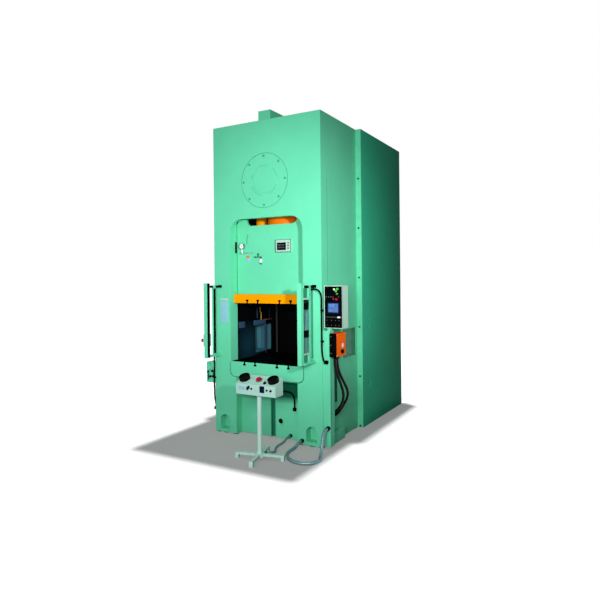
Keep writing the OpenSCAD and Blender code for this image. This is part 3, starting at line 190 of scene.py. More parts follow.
def machine_paint(colour, rough=0.36, edge=0.004, dust=True, dark=None, tints=(), rear_shade=None):
    """Semi-gloss machine enamel: slight drifts of tone, orange peel, dust towards the floor.

    dark is a function that returns the mask of the surfaces painted near black: oiled steel, and painted shade
    where little light reaches; tints are pairs of such a function and the colour painted on its surfaces, most
    of them painted shade and light; and rear_shade holds the two places along Y between which the paint turns
    darker as painted shade."""
    s = Shader(colour, rough, coat=0.04)
    s.fix("Specular IOR Level", PAINT_GLOSS)
    tone = s.blend(s.ramp(s.noise(1.3, 4), 0, 1, 0.35, 0.68), shade(colour, 0.95), shade(colour, 1.04))
    # Painted shade: darker towards the rear
    if rear_shade:
        tone = s.blend(s.ramp(s.along("Y"), 0, 1, *rear_shade), tone, shade(colour, REAR_SHADE_FACTOR))
    if dust:
        near_floor = s.ramp(s.along("Z"), DUST, 0.0, 0.0, DUST_HEIGHT)
        tone = s.blend(s.both(near_floor, s.noise(9, 6, (1, 1, 0.4))), tone, shade(colour, 0.55))
    if dark:
        # Near black: oiled steel, and painted shade where little light reaches
        tone = s.blend(dark(s), tone, s.blend(s.noise(16, 5), OIL_AND_SHADE_BLACK, shade(OIL_AND_SHADE_BLACK, 2.0)))
    # The tints' colours, most of them painted shade and light
    for mask, tint in tints:
        tone = s.blend(mask(s), tone, s.blend(s.noise(9, 4), shade(tint, 0.85), shade(tint, 1.1)))
    s.feed("Base Color", tone)
    s.feed("Roughness", s.ramp(s.noise(6, 5), rough - 0.05, rough + 0.09, 0.3, 0.7))
    s.bump(s.noise(260, 2), 0.1, 0.0006, edge)
    return s.material


def powder_coat(colour, rough=0.45, dark=None):
    """Fine-textured powder coat, black where dark's mask is 1."""
    s = Shader(colour, rough)
    s.fix("Specular IOR Level", COAT_GLOSS)
    tone = s.blend(s.noise(14, 4), shade(colour, 0.95), shade(colour, 1.03))
    if dark:
        tone = s.blend(dark(s), tone, s.blend(s.noise(30, 4), shade(BLACK, 0.8), shade(BLACK, 1.3)))
    s.feed("Base Color", tone)
    s.feed("Roughness", s.ramp(s.noise(40, 3), rough - 0.05, rough + 0.08, 0.3, 0.7))
    s.bump(s.noise(700, 2), 0.12, 0.0004, 0.002)
    return s.material


def ground_steel(colour, rough=0.28, grain=(1, 1, 18), metal=1.0):
    """Ground or turned steel with fine grain and an oily stain here and there."""
    s = Shader(colour, rough, metal=metal)
    grain_lines = s.noise(60, 4, grain)
    s.feed("Base Color", s.blend(s.ramp(s.noise(5, 5), 0, 1, 0.4, 0.75), colour, shade(colour, 0.72)))
    s.feed("Roughness", s.ramp(grain_lines, rough - 0.08, rough + 0.14, 0.3, 0.7))
    s.bump(grain_lines, 0.08, 0.0003)
    return s.material


def casting(colour):
    """Machined casting, with a grainy skin and oil films."""
    s = Shader(colour, 0.5, metal=0.85)
    s.feed("Base Color", s.blend(s.ramp(s.noise(7, 6), 0, 1, 0.38, 0.7), shade(colour, 0.6), colour))
    s.feed("Roughness", s.ramp(s.noise(30, 5), 0.34, 0.62, 0.3, 0.7))
    s.bump(s.noise(220, 5), 0.3, 0.0012)
    return s.material


def moulded(colour, rough=0.42, scale=500, depth=0.15, gloss=PLASTIC_GLOSS):
    """Moulded plastic or rubber with a fine spark-eroded grain."""
    s = Shader(colour, rough)
    s.fix("Specular IOR Level", gloss)
    s.feed("Base Color", s.blend(s.noise(30, 4), shade(colour, 0.85), shade(colour, 1.15)))
    s.feed("Roughness", s.ramp(s.noise(60, 4), rough - 0.07, rough + 0.1, 0.3, 0.7))
    s.bump(s.noise(scale, 2), depth, 0.0004)
    return s.material


def tinted_pane(colour, left_colour):
    """Tinted polycarbonate: half see-through, with faint haze and scratches, another tint at the left."""
    s = Shader(colour, 0.06)
    s.fix("Transmission Weight", 0.72)
    s.fix("IOR", PANE_IOR)
    tint = s.blend(s.within(x=(-0.9, 0.0)), colour, left_colour)
    s.feed("Base Color", s.blend(s.ramp(s.noise(4, 5), 0, 0.2, 0.3, 0.7), tint, WHITE))
    s.feed("Roughness", s.ramp(s.noise(45, 6, (1, 1, 0.1)), 0.04, 0.2, 0.45, 0.8))
    return s.material


def glow(colour, strength):
    """A lit lens or display, brighter towards the middle of its cells."""
    s = Shader(colour, 0.2)
    s.feed("Emission Color", s.blend(s.noise(55, 3), shade(colour, 0.7), shade(colour, 1.25)))
    s.fix("Emission Strength", strength)
    return s.material


# Masks: the surfaces of a node that differ in colour from the rest

SLOT_XS = (-0.34, -0.17, 0.17, 0.34)
SLOT_HALF = 0.025
CONSOLE_TOP = Vector((0.345, -1.205, 0.915))
CONSOLE_SLOPE = math.atan2(0.078, 0.165)
CONSOLE_UP = Vector((0, -math.sin(CONSOLE_SLOPE), math.cos(CONSOLE_SLOPE)))
SHEEN_CENTRE = (-0.569, -0.12, 1.16)


def inside(**spans):
    """A mask that is 1 inside a box."""
    return lambda s: s.within(**spans)


# The inside of the die space and of the slide's well, painted near black as shade
die_space_shade = inside(x=(-0.569, 0.569), y=(-0.372, 0.55), z=(0.775, 2.965))
# Painted light: the inside of the left feed opening takes the teal of the light that comes in through its pane
tunnel_pane_light = inside(x=(-0.829, -0.564), y=(0.063, 0.478), z=(1.028, 1.412))
# Painted shade on an upright strip at a step in the recess between the legs
step_shade = inside(x=(-0.004, 0.05), y=(-0.42, -0.38), z=(0.0, 0.66))
# The shaded strip of the right side between the duct post and the hoses
hose_shade = inside(x=(0.828, 0.832), y=(-0.215, -0.125), z=(0.5, 1.07))
# The shaded strip on the right upright beside the guard's post
column_strip = inside(x=(0.68, 0.706), y=(-0.537, -0.533), z=(1.1, 1.966))
# The bolts on the crown's front
cover_bolts = inside(y=(-0.6, -0.5))
# The narrow strip of the enclosure that looks forward, painted in the lighter frame green as painted light
lit_front_strip = inside(y=(0.533, 0.537))


def cheek_sheen(s):
    """A dim patch of blue light on the left cheek, fading from its middle."""
    off = s.node("ShaderNodeVectorMath", {0: s.place, 1: SHEEN_CENTRE}, operation="DISTANCE")
    return s.both(s.ramp(off.outputs["Value"], 1.0, 0.0, 0.05, 0.36), die_space_shade(s))


def shade_under_bolster(s):
    """Painted shade at the top of the recess between the legs, below the bolster."""
    wall = s.within(x=(-0.56, 0.48), y=(-0.42, -0.4), z=(0.4, 0.8))
    return s.both(s.ramp(s.along("Z"), 0.0, 1.0, 0.46, 0.56), wall)


def slots_dark(s, front, low, high):
    """T-slots, seen from their ends: painted shade inside."""
    return s.either(*[s.within(x=(x - SLOT_HALF, x + SLOT_HALF), y=(front, 0.6), z=(low, high))
            for x in SLOT_XS])


def bolster_dark(s):
    """The bolster's oiled top, painted near black as shade as well, and the painted shade in its slots."""
    return s.either(s.within(z=(0.9845, 0.99)), slots_dark(s, -0.5345, 0.934, 0.9852))


def slide_dark(s):
    """The slide plate's oiled face, and the painted shade in its slots."""
    return s.either(s.within(z=(1.76, 1.7685)), slots_dark(s, -0.4595, 1.7682, 1.819))


def rings_dark(s):
    """The raised rings round the palm buttons, which stand above the console's sloping top."""
    above = s.node("ShaderNodeVectorMath", {0: s.place, 1: CONSOLE_UP}, operation="DOT_PRODUCT")
    return calculate(s.tree, "GREATER_THAN", above.outputs["Value"], CONSOLE_TOP.dot(CONSOLE_UP) + 0.0012)


def guard_dark(s):
    """The insides of the guards' channels and the sleeves on their upper arms."""
    return s.either(s.within(y=(-0.8245, -0.7075), z=(1.975, 2.015)),
            s.within(y=(-0.6575, -0.53), z=(1.975, 2.015)),
            s.within(x=(-0.7295, 0.7295), y=(-0.8802, -0.8298), z=(1.056, 2.039)),
            s.within(x=(-0.7175, 0.7175), y=(-0.7065, -0.6585), z=(1.1, 1.97)))


MATERIALS = {
    "console": powder_coat(srgb(172, 216, 203), dark=rings_dark),
    # The frame's green, with painted shade in its die space and most tints, and painted light on the left
    # cheek and in the feed opening
    "frame_green": machine_paint(GREEN, dark=die_space_shade, tints=(
        (cheek_sheen, srgb(20, 52, 66)), (tunnel_pane_light, srgb(74, 132, 148)), (shade_under_bolster, SHADED_GREEN),
        (step_shade, srgb(40, 128, 98)), (hose_shade, srgb(22, 96, 72)),
        (column_strip, srgb(66, 152, 120)))),
    "bolster_green": machine_paint(GREEN, dark=bolster_dark),
    "slide_orange": machine_paint(ORANGE, 0.34, dust=False, dark=slide_dark),
    "guard_green": machine_paint(GREEN, edge=0.002, dark=guard_dark),
    "green": machine_paint(GREEN),
    # The enclosure's sheet: painted shade, darker still towards the rear, with painted light on its forward
    # strip
    "sheet_green": machine_paint(SHADED_SHEET_GREEN, tints=((lit_front_strip, GREEN),), rear_shade=(0.6, 2.1)),
    "deep_green": machine_paint(srgb(26, 92, 72), 0.42),
    "orange": machine_paint(ORANGE, 0.34, dust=False),
    "signal": machine_paint(srgb(255, 104, 8), 0.34, 0.003, dust=False),
    "pale": powder_coat(srgb(188, 228, 216)),
    "box": powder_coat(srgb(174, 212, 196)),
    "black_paint": powder_coat(BLACK, 0.5),
    "motor": powder_coat(srgb(52, 92, 118)),
    "steel": ground_steel(srgb(196, 200, 204)),
    "iron": casting(srgb(92, 95, 98)),
    "bronze": ground_steel(srgb(176, 134, 74), 0.32),
    "aluminium": ground_steel(srgb(150, 178, 186), 0.34, (14, 14, 1)),
    "rubber": moulded(BLACK, 0.5, 300, 0.25),
    "hose": moulded(srgb(3, 3, 4), 0.18, 160, 0.2, gloss=0.12),
    "black": moulded(BLACK, 0.38),
    "red": moulded(srgb(168, 16, 52), 0.3),
    "green_lens": glow(srgb(58, 172, 40), 0.08),
    "dull_green_lens": glow(srgb(40, 140, 50), 0.02),
    "white_lens": glow(srgb(205, 224, 196), 0.05),
    "red_lens": glow(srgb(110, 8, 34), 0.05),
    "screen": glow(srgb(66, 104, 166), 0.04),
    "screen_light": glow(srgb(76, 118, 180), 0.04),
    "screen_dark": glow(srgb(56, 92, 154), 0.04),
    "pane": tinted_pane(srgb(74, 168, 134), srgb(66, 118, 134)),
    "navy": moulded(srgb(8, 24, 62), 0.35),
    "key": moulded(srgb(96, 102, 104), 0.4),
    "groove_green": machine_paint(srgb(56, 146, 112), 0.6, 0.0, dust=False),
    "shade_green": machine_paint(srgb(58, 140, 108), 0.5, 0.0, dust=False),
    "bolt_green": machine_paint(LINE_GREEN, 0.5, 0.0, dust=False, tints=((cover_bolts, srgb(72, 162, 128)),)),
    "plunger_orange": machine_paint(srgb(248, 122, 10), 0.3, dust=False),
    "bar_blue": moulded(srgb(92, 156, 150), 0.3),
    "grey_bar": powder_coat(srgb(62, 62, 66), 0.4),
    "line_green": machine_paint(LINE_GREEN, 0.6, 0.0, dust=False),
    "brown": moulded(srgb(122, 74, 40), 0.5),
    "blue_grey": powder_coat(srgb(48, 78, 104), 0.4),
    "pale_bar": powder_coat(srgb(150, 190, 214), 0.35),
    "yellow_bar": powder_coat(srgb(190, 140, 50), 0.4),
    "white": moulded(srgb(232, 236, 236), 0.35),
    "pale_blue": moulded(srgb(142, 200, 214), 0.4),
    "conduit": ground_steel(srgb(118, 152, 162), 0.3, (1, 1, 1), metal=0.55),
}
for look, material in MATERIALS.items():
    material.name = look

# The CAD nodes that take each material
NODE_LOOKS = {
    "frame_green": "frame",
    "bolster_green": "bolster",
    "bolt_green": "panel_bolts",
    "green": "crown_cover slide_body drive_bracket roof_box junction_box duct_post",
    "guard_green": "light_channels guard_frames",
    "sheet_green": "enclosure_left enclosure_right enclosure_rear enclosure_roof rear_door",
    "deep_green": "flywheel",
    "orange": "balance_cylinders",
    "plunger_orange": "plunger",
    "slide_orange": "slide_plate",
    "signal": "isolator_box",
    "pale": "pedestal_stand",
    "console": "console_box",
    "box": "control_box height_indicator side_stop_box",
    # The rear guard is painted black as the shade deep behind the die space; the gauge needle is really black
    "black_paint": "rear_guard gauge_needle",
    "motor": "main_motor",
    "steel": "adjusting_screw crankshaft pinion_shaft balance_rods pressure_gauge",
    "iron": "connecting_rod main_gear clutch motor_pulley",
    "bronze": "gibs plunger_guide crank_bearings",
    "aluminium": "light_bars",
    "rubber": "levelling_pads drive_belts cable_runs",
    "black": "door_handle isolator_knob palm_button_left palm_button_right console_selector conduit_glands",
    "red": "side_stop_button console_stop_button panel_stop_button",
    "green_lens": "run_button",
    "pane": "feed_guards",
}


def dress_nodes():
    """Gives every CAD node its finished material."""
    for look, nodes in NODE_LOOKS.items():
        for name in nodes.split():
            for slot in bpy.data.objects[name].material_slots:
                slot.material = MATERIALS[look]


# Helpers that make pieces

# How far a detail's back sinks into the face that it sits on
SKIN = 0.0006
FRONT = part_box("frame")[0].y
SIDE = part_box("frame")[1].x
SLIDE_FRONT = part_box("slide_body")[0].y


def add_object(name, data):
    """Puts a mesh, camera or lamp in the scene."""
    made = bpy.data.objects.new(name, data)
    scene.collection.objects.link(made)
    return made


def piece(name, mesh, look, body="press"):
    """Puts a mesh in the scene as a piece that rides on a body."""
    made = add_object(name, mesh)
    mesh.materials.append(MATERIALS[look])
    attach(made, body)
    return made


def smooth_mesh(name, bm, angle=35):
    """Turns a bmesh into a mesh, smooth but for edges sharper than the angle in degrees."""
    bmesh.ops.recalc_face_normals(bm, faces=bm.faces)
    for face in bm.faces:
        face.smooth = True
    for edge in bm.edges:
        if len(edge.link_faces) == 2 and edge.calc_face_angle() > math.radians(angle):
            edge.smooth = False
    mesh = bpy.data.meshes.new(name)
    bm.to_mesh(mesh)
    bm.free()
    return mesh


def form(name, bm, look, body="press", angle=35):
    """A finished bmesh as a piece."""
    piece(name, smooth_mesh(name, bm, angle), look, body)


def add_block(bm, low, high, bevel=0.0, turn=None):
    """A box from its two corners, with rounded edges, turned by a matrix at the end."""
    low, high = Vector(low), Vector(high)
    made = bmesh.ops.create_cube(bm, size=1.0)["verts"]
    bmesh.ops.scale(bm, vec=high - low, verts=made)
    bmesh.ops.translate(bm, vec=(high + low) / 2, verts=made)
    if bevel:
        edges = list({e for v in made for e in v.link_edges})
        made = bmesh.ops.bevel(bm, geom=edges, offset=bevel, segments=2, affect="EDGES", profile=0.6)["verts"]
    if turn:
        bmesh.ops.transform(bm, matrix=turn, verts=made)


def add_disc(bm, centre, axis, radius, length, bevel=0.0, sides=32):
    """A cylinder that stands on centre and rises along axis."""
    made = bmesh.ops.create_cone(bm, cap_ends=True, segments=sides, radius1=radius, radius2=radius,
            depth=length)["verts"]
    bmesh.ops.translate(bm, vec=(0, 0, length / 2), verts=made)
    if bevel:
        rim = list({e for v in made for e in v.link_edges if all(w.co.z > length / 2 for w in e.verts)})
        rounded = bmesh.ops.bevel(bm, geom=rim, offset=bevel, segments=3, affect="EDGES", profile=0.5)
        made = list({v for v in made if v.is_valid} | set(rounded["verts"]))
    turn = Vector(UP).rotation_difference(Vector(axis)).to_matrix().to_4x4()
    bmesh.ops.transform(bm, matrix=Matrix.Translation(centre) @ turn, verts=made)


def ring(bm, centre, axis, radius, thick, start=0.0, sweep=360.0, sides=96):
    """A thin round bar bent into a ring, or into an arc from start over sweep degrees."""
    axis = Vector(axis)
    across = axis.cross(Vector(UP if abs(axis.z) < 0.9 else RIGHT)).normalized()
    along = axis.cross(across)
    closed = sweep >= 360
    count = max(3, round(sides * sweep / 360))
    rings = []
    for i in range(count if closed else count + 1):
        a = math.radians(start + sweep * i / count)
        out = math.cos(a) * across + math.sin(a) * along
        rings.append([bm.verts.new(
            Vector(centre) + out * (radius + thick * math.cos(b)) + axis * thick * math.sin(b))
            for b in (2 * math.pi * k / 6 for k in range(6))])
    skin_rings(bm, rings, closed)


def skin_rings(bm, rings, closed=False):
    """Joins rings of points into a tube, with flat ends unless it is closed."""
    sides = len(rings[0])
    for low, high in zip(rings, rings[1:] + (rings[:1] if closed else [])):
        for k in range(sides):
            bm.faces.new((low[k], low[(k + 1) % sides], high[(k + 1) % sides], high[k]))
    if not closed:
        bm.faces.new(rings[0][::-1])
        bm.faces.new(rings[-1])


def tube_mesh(name, path, radius_at, sides=14):
    """A tube along a path, its radius a function of the point's number."""
    bm = bmesh.new()
    side = Vector(RIGHT if abs((path[1] - path[0]).normalized().x) < 0.9 else UP)
    rings = []
    for i, centre in enumerate(path):
        along = (path[min(i + 1, len(path) - 1)] - path[max(i - 1, 0)]).normalized()
        side = (side - along * side.dot(along)).normalized()
        across = along.cross(side)
        radius = radius_at(i)
        rings.append([bm.verts.new(centre + radius * (math.cos(a) * side + math.sin(a) * across))
                for a in (2 * math.pi * k / sides for k in range(sides))])
    skin_rings(bm, rings)
    return smooth_mesh(name, bm, 50)


def spline(points, step):
    """Points along a smooth curve through the given ones, about step apart."""
    points = [Vector(p) for p in points]
    ends = [points[0] * 2 - points[1], *points, points[-1] * 2 - points[-2]]
    fine = []
    for a, b, c, d in zip(ends, ends[1:], ends[2:], ends[3:]):
        count = max(1, round((c - b).length / step))
        for i in range(count):
            t = i / count
            fine.append(0.5 * ((2 * b) + (c - a) * t + (2 * a - 5 * b + 4 * c - d) * t * t
                    + (3 * b - a - 3 * c + d) * t ** 3))
    return [*fine, points[-1]]


def wire(name, points, step, radius, look, body="press"):
    """A thin round wire along a smooth curve through the points."""
    piece(name, tube_mesh(name, spline(points, step), lambda i: radius, 8), look, body)


def blocks(name, boxes, look, body="press", bevel=0.001):
    """One piece made of several rounded boxes, each given by its two corners."""
    bm = bmesh.new()
    for low, high in boxes:
        add_block(bm, low, high, bevel)
    form(name, bm, look, body)


def plates(name, look, face, rise, *spans, body="press", slot=None, bevel=0.001):
    """One piece of plates that stand proud of a face by rise, each given by its ends along X and Z."""
    blocks(name, [((x0, face - rise, z0), (x1, face + SKIN, z1)) for x0, x1, z0, z1 in spans],
           look, body, bevel)


def discs(name, places, axis, radius, length, look, body="press", bevel=0.001, sides=32):
    """One piece made of several equal round studs."""
    bm = bmesh.new()
    for centre in places:
        add_disc(bm, centre, axis, radius, length, bevel, sides)
    form(name, bm, look, body)


def studs(name, look, face, radius, length, *places, body="press", bevel=0.004):
    """One piece made of equal round studs on a face that looks forward."""
    discs(name, [(x, face + SKIN, z) for x, z in places], FORWARD, radius, length, look, body, bevel)


def side_line(name, face, y0, y1, z0, z1):
    """A dark line on a face that looks sideways, given by its ends along Y and Z."""
    blocks(name, [((face - SKIN, y0, z0), (face + SKIN, y1, z1))], "line_green", bevel=0)


def bezels(name, look, face, thick, sides, *rings):
    """One piece made of thin rings on a face that looks forward, each given by X, Z and radius."""
    bm = bmesh.new()
    for x, z, radius in rings:
        ring(bm, (x, face, z), FORWARD, radius, thick, sides=sides)
    form(name, bm, look)


# A hexagon head and its washer, in parts of the bolt's size
WASHER_RADIUS, WASHER_HEIGHT = 0.95, 0.14
HEAD_START, HEAD_RADIUS, HEAD_HEIGHT, HEAD_BEVEL = 0.13, 0.58, 0.42, 0.05


def hex_bolts(name, places, axis, size, look, washer=True):
    """Hexagon heads on washers, all facing along axis."""
    bm = bmesh.new()
    axis = Vector(axis)
    for centre in places:
        centre = Vector(centre)
        if washer:
            add_disc(bm, centre - axis * SKIN, axis, size * WASHER_RADIUS, size * WASHER_HEIGHT + SKIN,
                    0.0004, 28)
        add_disc(bm, centre + axis * (size * HEAD_START), axis, size * HEAD_RADIUS, size * HEAD_HEIGHT,
                size * HEAD_BEVEL, 6)
    form(name, bm, look, angle=25)


# Camera

EYE = Vector((3.865, -6.428, 2.114))
EYE_TURN = math.radians(29.543)
EYE_ROLL = math.radians(-0.547)
SENSOR_MM = 36
LENS_MM = 32.35
SHIFT_Y = -0.0384


def make_camera():
    """A level camera to the right of the press, turned towards it and a touch out of true."""
    ahead = Vector((-math.sin(EYE_TURN), math.cos(EYE_TURN), 0))
    level = Vector((math.cos(EYE_TURN), math.sin(EYE_TURN), 0))
    up = Vector(UP)
    right = math.cos(EYE_ROLL) * level + math.sin(EYE_ROLL) * up
    top = math.cos(EYE_ROLL) * up - math.sin(EYE_ROLL) * level
    data = bpy.data.cameras.new("camera")
    data.sensor_width = SENSOR_MM
    data.lens = LENS_MM
    data.shift_y = SHIFT_Y
    scene.camera = add_object("camera", data)
    scene.camera.matrix_world = Matrix.Translation(EYE) @ Matrix((right, top, -ahead)).transposed().to_4x4()


make_camera()

# Cords

CONDUIT_D = 0.04
THIN_CONDUIT_D = 0.03
HOSE_D = 0.034
RIB_POINTS = 4
LONG_ROUTE = [
    (0.9, -0.575, 0.258), (0.9, -0.6, 0.258), (0.912, -0.668, 0.243), (0.922, -0.723, 0.201),
    (0.93, -0.755, 0.14), (0.939, -0.786, 0.079), (0.957, -0.841, 0.037), (0.98, -0.905, 0.022),
    (1.01, -0.96, 0.022), (1.014, -1.035, 0.022), (0.978, -1.112, 0.022), (0.908, -1.161, 0.022),
    (0.838, -1.17, 0.022), (0.76, -1.155, 0.022), (0.69, -1.115, 0.022), (0.63, -1.06, 0.022),
    (0.585, -0.99, 0.022), (0.555, -0.91, 0.022), (0.542, -0.82, 0.022), (0.538, -0.735, 0.022),
    (0.538, -0.685, 0.036), (0.538, -0.64, 0.053), (0.538, -0.603, 0.06), (0.538, -0.575, 0.06)]
SHORT_ROUTE = [
    (0.3, -0.445, 0.06), (0.3, -0.472, 0.06), (0.3, -0.512, 0.053), (0.299, -0.552, 0.038),
    (0.298, -0.592, 0.024), (0.297, -0.635, 0.017), (0.298, -0.69, 0.017), (0.305, -0.75, 0.017),
    (0.318, -0.8, 0.017), (0.336, -0.842, 0.017), (0.357, -0.88, 0.017), (0.378, -0.915, 0.019),
    (0.396, -0.95, 0.023), (0.409, -0.985, 0.029), (0.416, -1.018, 0.036), (0.418, -1.05, 0.043),
    (0.414, -1.08, 0.048), (0.405, -1.105, 0.05), (0.39, -1.13, 0.05)]
HOSE_FRONT_ROUTE = [
    (0.975, -0.475, 1.105), (0.975, -0.475, 1.06), (0.978, -0.472, 1.01), (0.987, -0.464, 0.95),
    (1.002, -0.452, 0.885), (1.02, -0.438, 0.82), (1.036, -0.422, 0.755), (1.045, -0.409, 0.705),
    (1.046, -0.397, 0.655), (1.037, -0.386, 0.606), (1.019, -0.377, 0.558), (0.994, -0.37, 0.512),
    (0.964, -0.364, 0.472), (0.931, -0.36, 0.44), (0.896, -0.358, 0.417), (0.866, -0.358, 0.408),
    (0.85, -0.358, 0.408)]
HOSE_REAR_ROUTE = [
    (0.975, -0.415, 1.105), (0.975, -0.415, 1.06), (0.98, -0.411, 1.005), (0.994, -0.403, 0.94),
    (1.017, -0.392, 0.875), (1.045, -0.379, 0.81), (1.069, -0.367, 0.755), (1.083, -0.357, 0.705),
    (1.082, -0.348, 0.655), (1.068, -0.34, 0.608), (1.045, -0.333, 0.564), (1.018, -0.327, 0.522),
    (0.989, -0.322, 0.48), (0.959, -0.318, 0.44), (0.928, -0.314, 0.406), (0.895, -0.311, 0.378),
    (0.867, -0.311, 0.366), (0.85, -0.311, 0.366)]


def ribbed_cord(name, node, route, diameter, look, rib, depth):
    """A stiff flexible tube with rolled ribs along its route, in place of its CAD node."""
    path = spline(route, rib / RIB_POINTS)
    ribs = [1 - depth * (0.5 - 0.5 * math.cos(math.pi / 2 * k)) for k in range(RIB_POINTS)]
    made = piece(name, tube_mesh(name, path, lambda i: diameter / 2 * ribs[i % RIB_POINTS]), look)
    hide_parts(node)


def make_cords():
    """The two grey conduits on the floor and the two black hoses under the isolator."""
    ribbed_cord("conduit_to_leg", "conduit_long", LONG_ROUTE, CONDUIT_D, "conduit", 0.012, 0.09)
    ribbed_cord("conduit_to_stand", "conduit_short", SHORT_ROUTE, THIN_CONDUIT_D, "conduit", 0.01, 0.09)
    ribbed_cord("isolator_hose_front", "hose_front", HOSE_FRONT_ROUTE, HOSE_D, "hose", 0.014, 0.03)
    ribbed_cord("isolator_hose_rear", "hose_rear", HOSE_REAR_ROUTE, HOSE_D, "hose", 0.014, 0.03)


make_cords()
dress_nodes()

# Details

CROWN_Z = 3.379
REAR_SHEET = 0.005
LOUVRE_PITCH = 0.045
LOUVRE_TILT = math.radians(-32)
CHEEK = -0.5655
APRON_LEFT, APRON_RIGHT = -0.576, 0.566
APRON_Z, APRON_CORNER = 0.86, 0.08
# The apron's dark line: its radius, and how far its painted shade swells from the lower right corner
APRON_LINE_RADIUS, BOLD_REACH = 0.003, 0.14


def make_crown():
    """The groove round the crown's cover, its inner step and its studs."""
    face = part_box("crown_cover")[0].y
    bm = bmesh.new()
    ring(bm, (0, FRONT - 0.001, CROWN_Z), FORWARD, 0.3565, 0.0026)
    for start, sweep in ((20, 60), (110, 50), (190, 38), (250, 62), (330, 22)):
        ring(bm, (0, face, CROWN_Z), FORWARD, 0.196, 0.0011, start, sweep, 72)
    form("crown_groove", bm, "groove_green")
    hex_bolts("crown_cover_studs", [(0.335 * math.cos(a), face, CROWN_Z + 0.335 * math.sin(a))
                                  for a in (math.radians(45 + 90 * i) for i in range(4))],
            FORWARD, 0.011, "green")


def make_front_plates():
    """Bare plates on the left upright and small plates on the slide."""
    plates("upright_plate", "pale_blue", FRONT, 0.0016, (-0.735, -0.602, 1.5, 1.795), slot="pale_paint")
    plates("upright_plate_strip", "box", FRONT, 0.0016, (-0.735, -0.602, 1.802, 1.832))
    plates("slide_small_plate", "pale_bar", SLIDE_FRONT, 0.0014, (-0.42, -0.345, 2.335, 2.378), body="slide")
    plates("slide_small_plate_upper", "yellow_bar", SLIDE_FRONT, 0.0014, (-0.41, -0.355, 2.382, 2.412),
           body="slide")
    rivets = [(x, FRONT - 0.001, z) for x in (-0.725, -0.612) for z in (1.515, 1.78)]
    hex_bolts("upright_plate_rivets", rivets, FORWARD, 0.006, "steel", washer=False)


def make_gauge():
    """The gauge's pale dial with ticks, its bezel, and the valve group on the slide."""
    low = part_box("pressure_gauge")[0]
    centre = Vector((-0.455, low.y + 0.0082, 2.54))
    discs("gauge_dial", [centre], FORWARD, 0.0345, 0.0008, "white", "slide", 0, 48)
    bm = bmesh.new()
    ring(bm, (centre.x, low.y + 0.001, centre.z), FORWARD, 0.0372, 0.0022)
    for i in range(11):
        turn = math.radians(-135 + 27 * i)
        at = centre + Vector((0.028 * math.sin(turn), -0.001, 0.028 * math.cos(turn)))
        add_block(bm, (-0.0006, -0.0003, -0.003), (0.0006, 0.0003, 0.003),
                turn=Matrix.Translation(at) @ Matrix.Rotation(turn, 4, "Y"))
    form("gauge_bezel", bm, "black", "slide")
    bm = bmesh.new()
    for x, out, z, axis, radius, length, bevel in (
            (-0.21, 0.012, 2.398, UP, 0.008, 0.04, 0.001), (-0.272, 0.012, 2.388, RIGHT, 0.006, 0.11, 0.001),
            (-0.162, 0.016, 2.363, UP, 0.012, 0.03, 0.002), (-0.164, 0.014, 2.288, UP, 0.011, 0.026, 0.002),
            (-0.262, -SKIN, 2.388, FORWARD, 0.01, 0.016, 0.001),
            (-0.21, -SKIN, 2.43, FORWARD, 0.01, 0.016, 0.001)):
        add_disc(bm, (x, SLIDE_FRONT - out, z), axis, radius, length, bevel, 20)
    form("slide_valve", bm, "line_green", "slide")
    bm = bmesh.new()
    add_disc(bm, (-0.163, SLIDE_FRONT - 0.016, 2.312), UP, 0.017, 0.052, 0.004, 28)
    add_block(bm, (-0.175, SLIDE_FRONT - 0.01, 2.32), (-0.151, SLIDE_FRONT + SKIN, 2.36), 0.002)
    form("slide_filter_bowl", bm, "white", "slide")
    wire("slide_wire", [(x, SLIDE_FRONT - out, z) for x, out, z in (
        (-0.377, 0.004, 2.7), (-0.385, 0.004, 2.67), (-0.392, 0.005, 2.64), (-0.397, 0.004, 2.6),
        (-0.398, 0.002, 2.57))], 0.008, 0.0025, "line_green", "slide")


def make_indicator():
    """The height indicator's display window, its rows of plain bars and its keys."""
    low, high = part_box("height_indicator")
    plates("indicator_window", "black", low.y, 0.002, (low.x + 0.024, low.x + 0.162, 2.468, 2.568),
           body="slide")
    bars = [(low.x + 0.038 + 0.022 * i, z) for z in (2.536, 2.503) for i in range(5)]
    blocks("indicator_bars", [((x, low.y - 0.003, z - 0.008), (x + 0.012, low.y - 0.0015, z + 0.008))
            for x, z in bars], "key", "slide", bevel=0.0004)
    studs("indicator_keys", "black", low.y, 0.009, 0.005, *[(low.x + 0.196, z) for z in (2.492, 2.526, 2.56)],
          body="slide", bevel=0.001)
    plates("indicator_rim", "line_green", low.y, 0.003,
           (low.x, low.x + 0.006, 2.444, 2.606), (high.x - 0.006, high.x, 2.444, 2.606),
           (low.x, high.x, 2.442, 2.448), (low.x, high.x, 2.602, 2.608), body="slide")


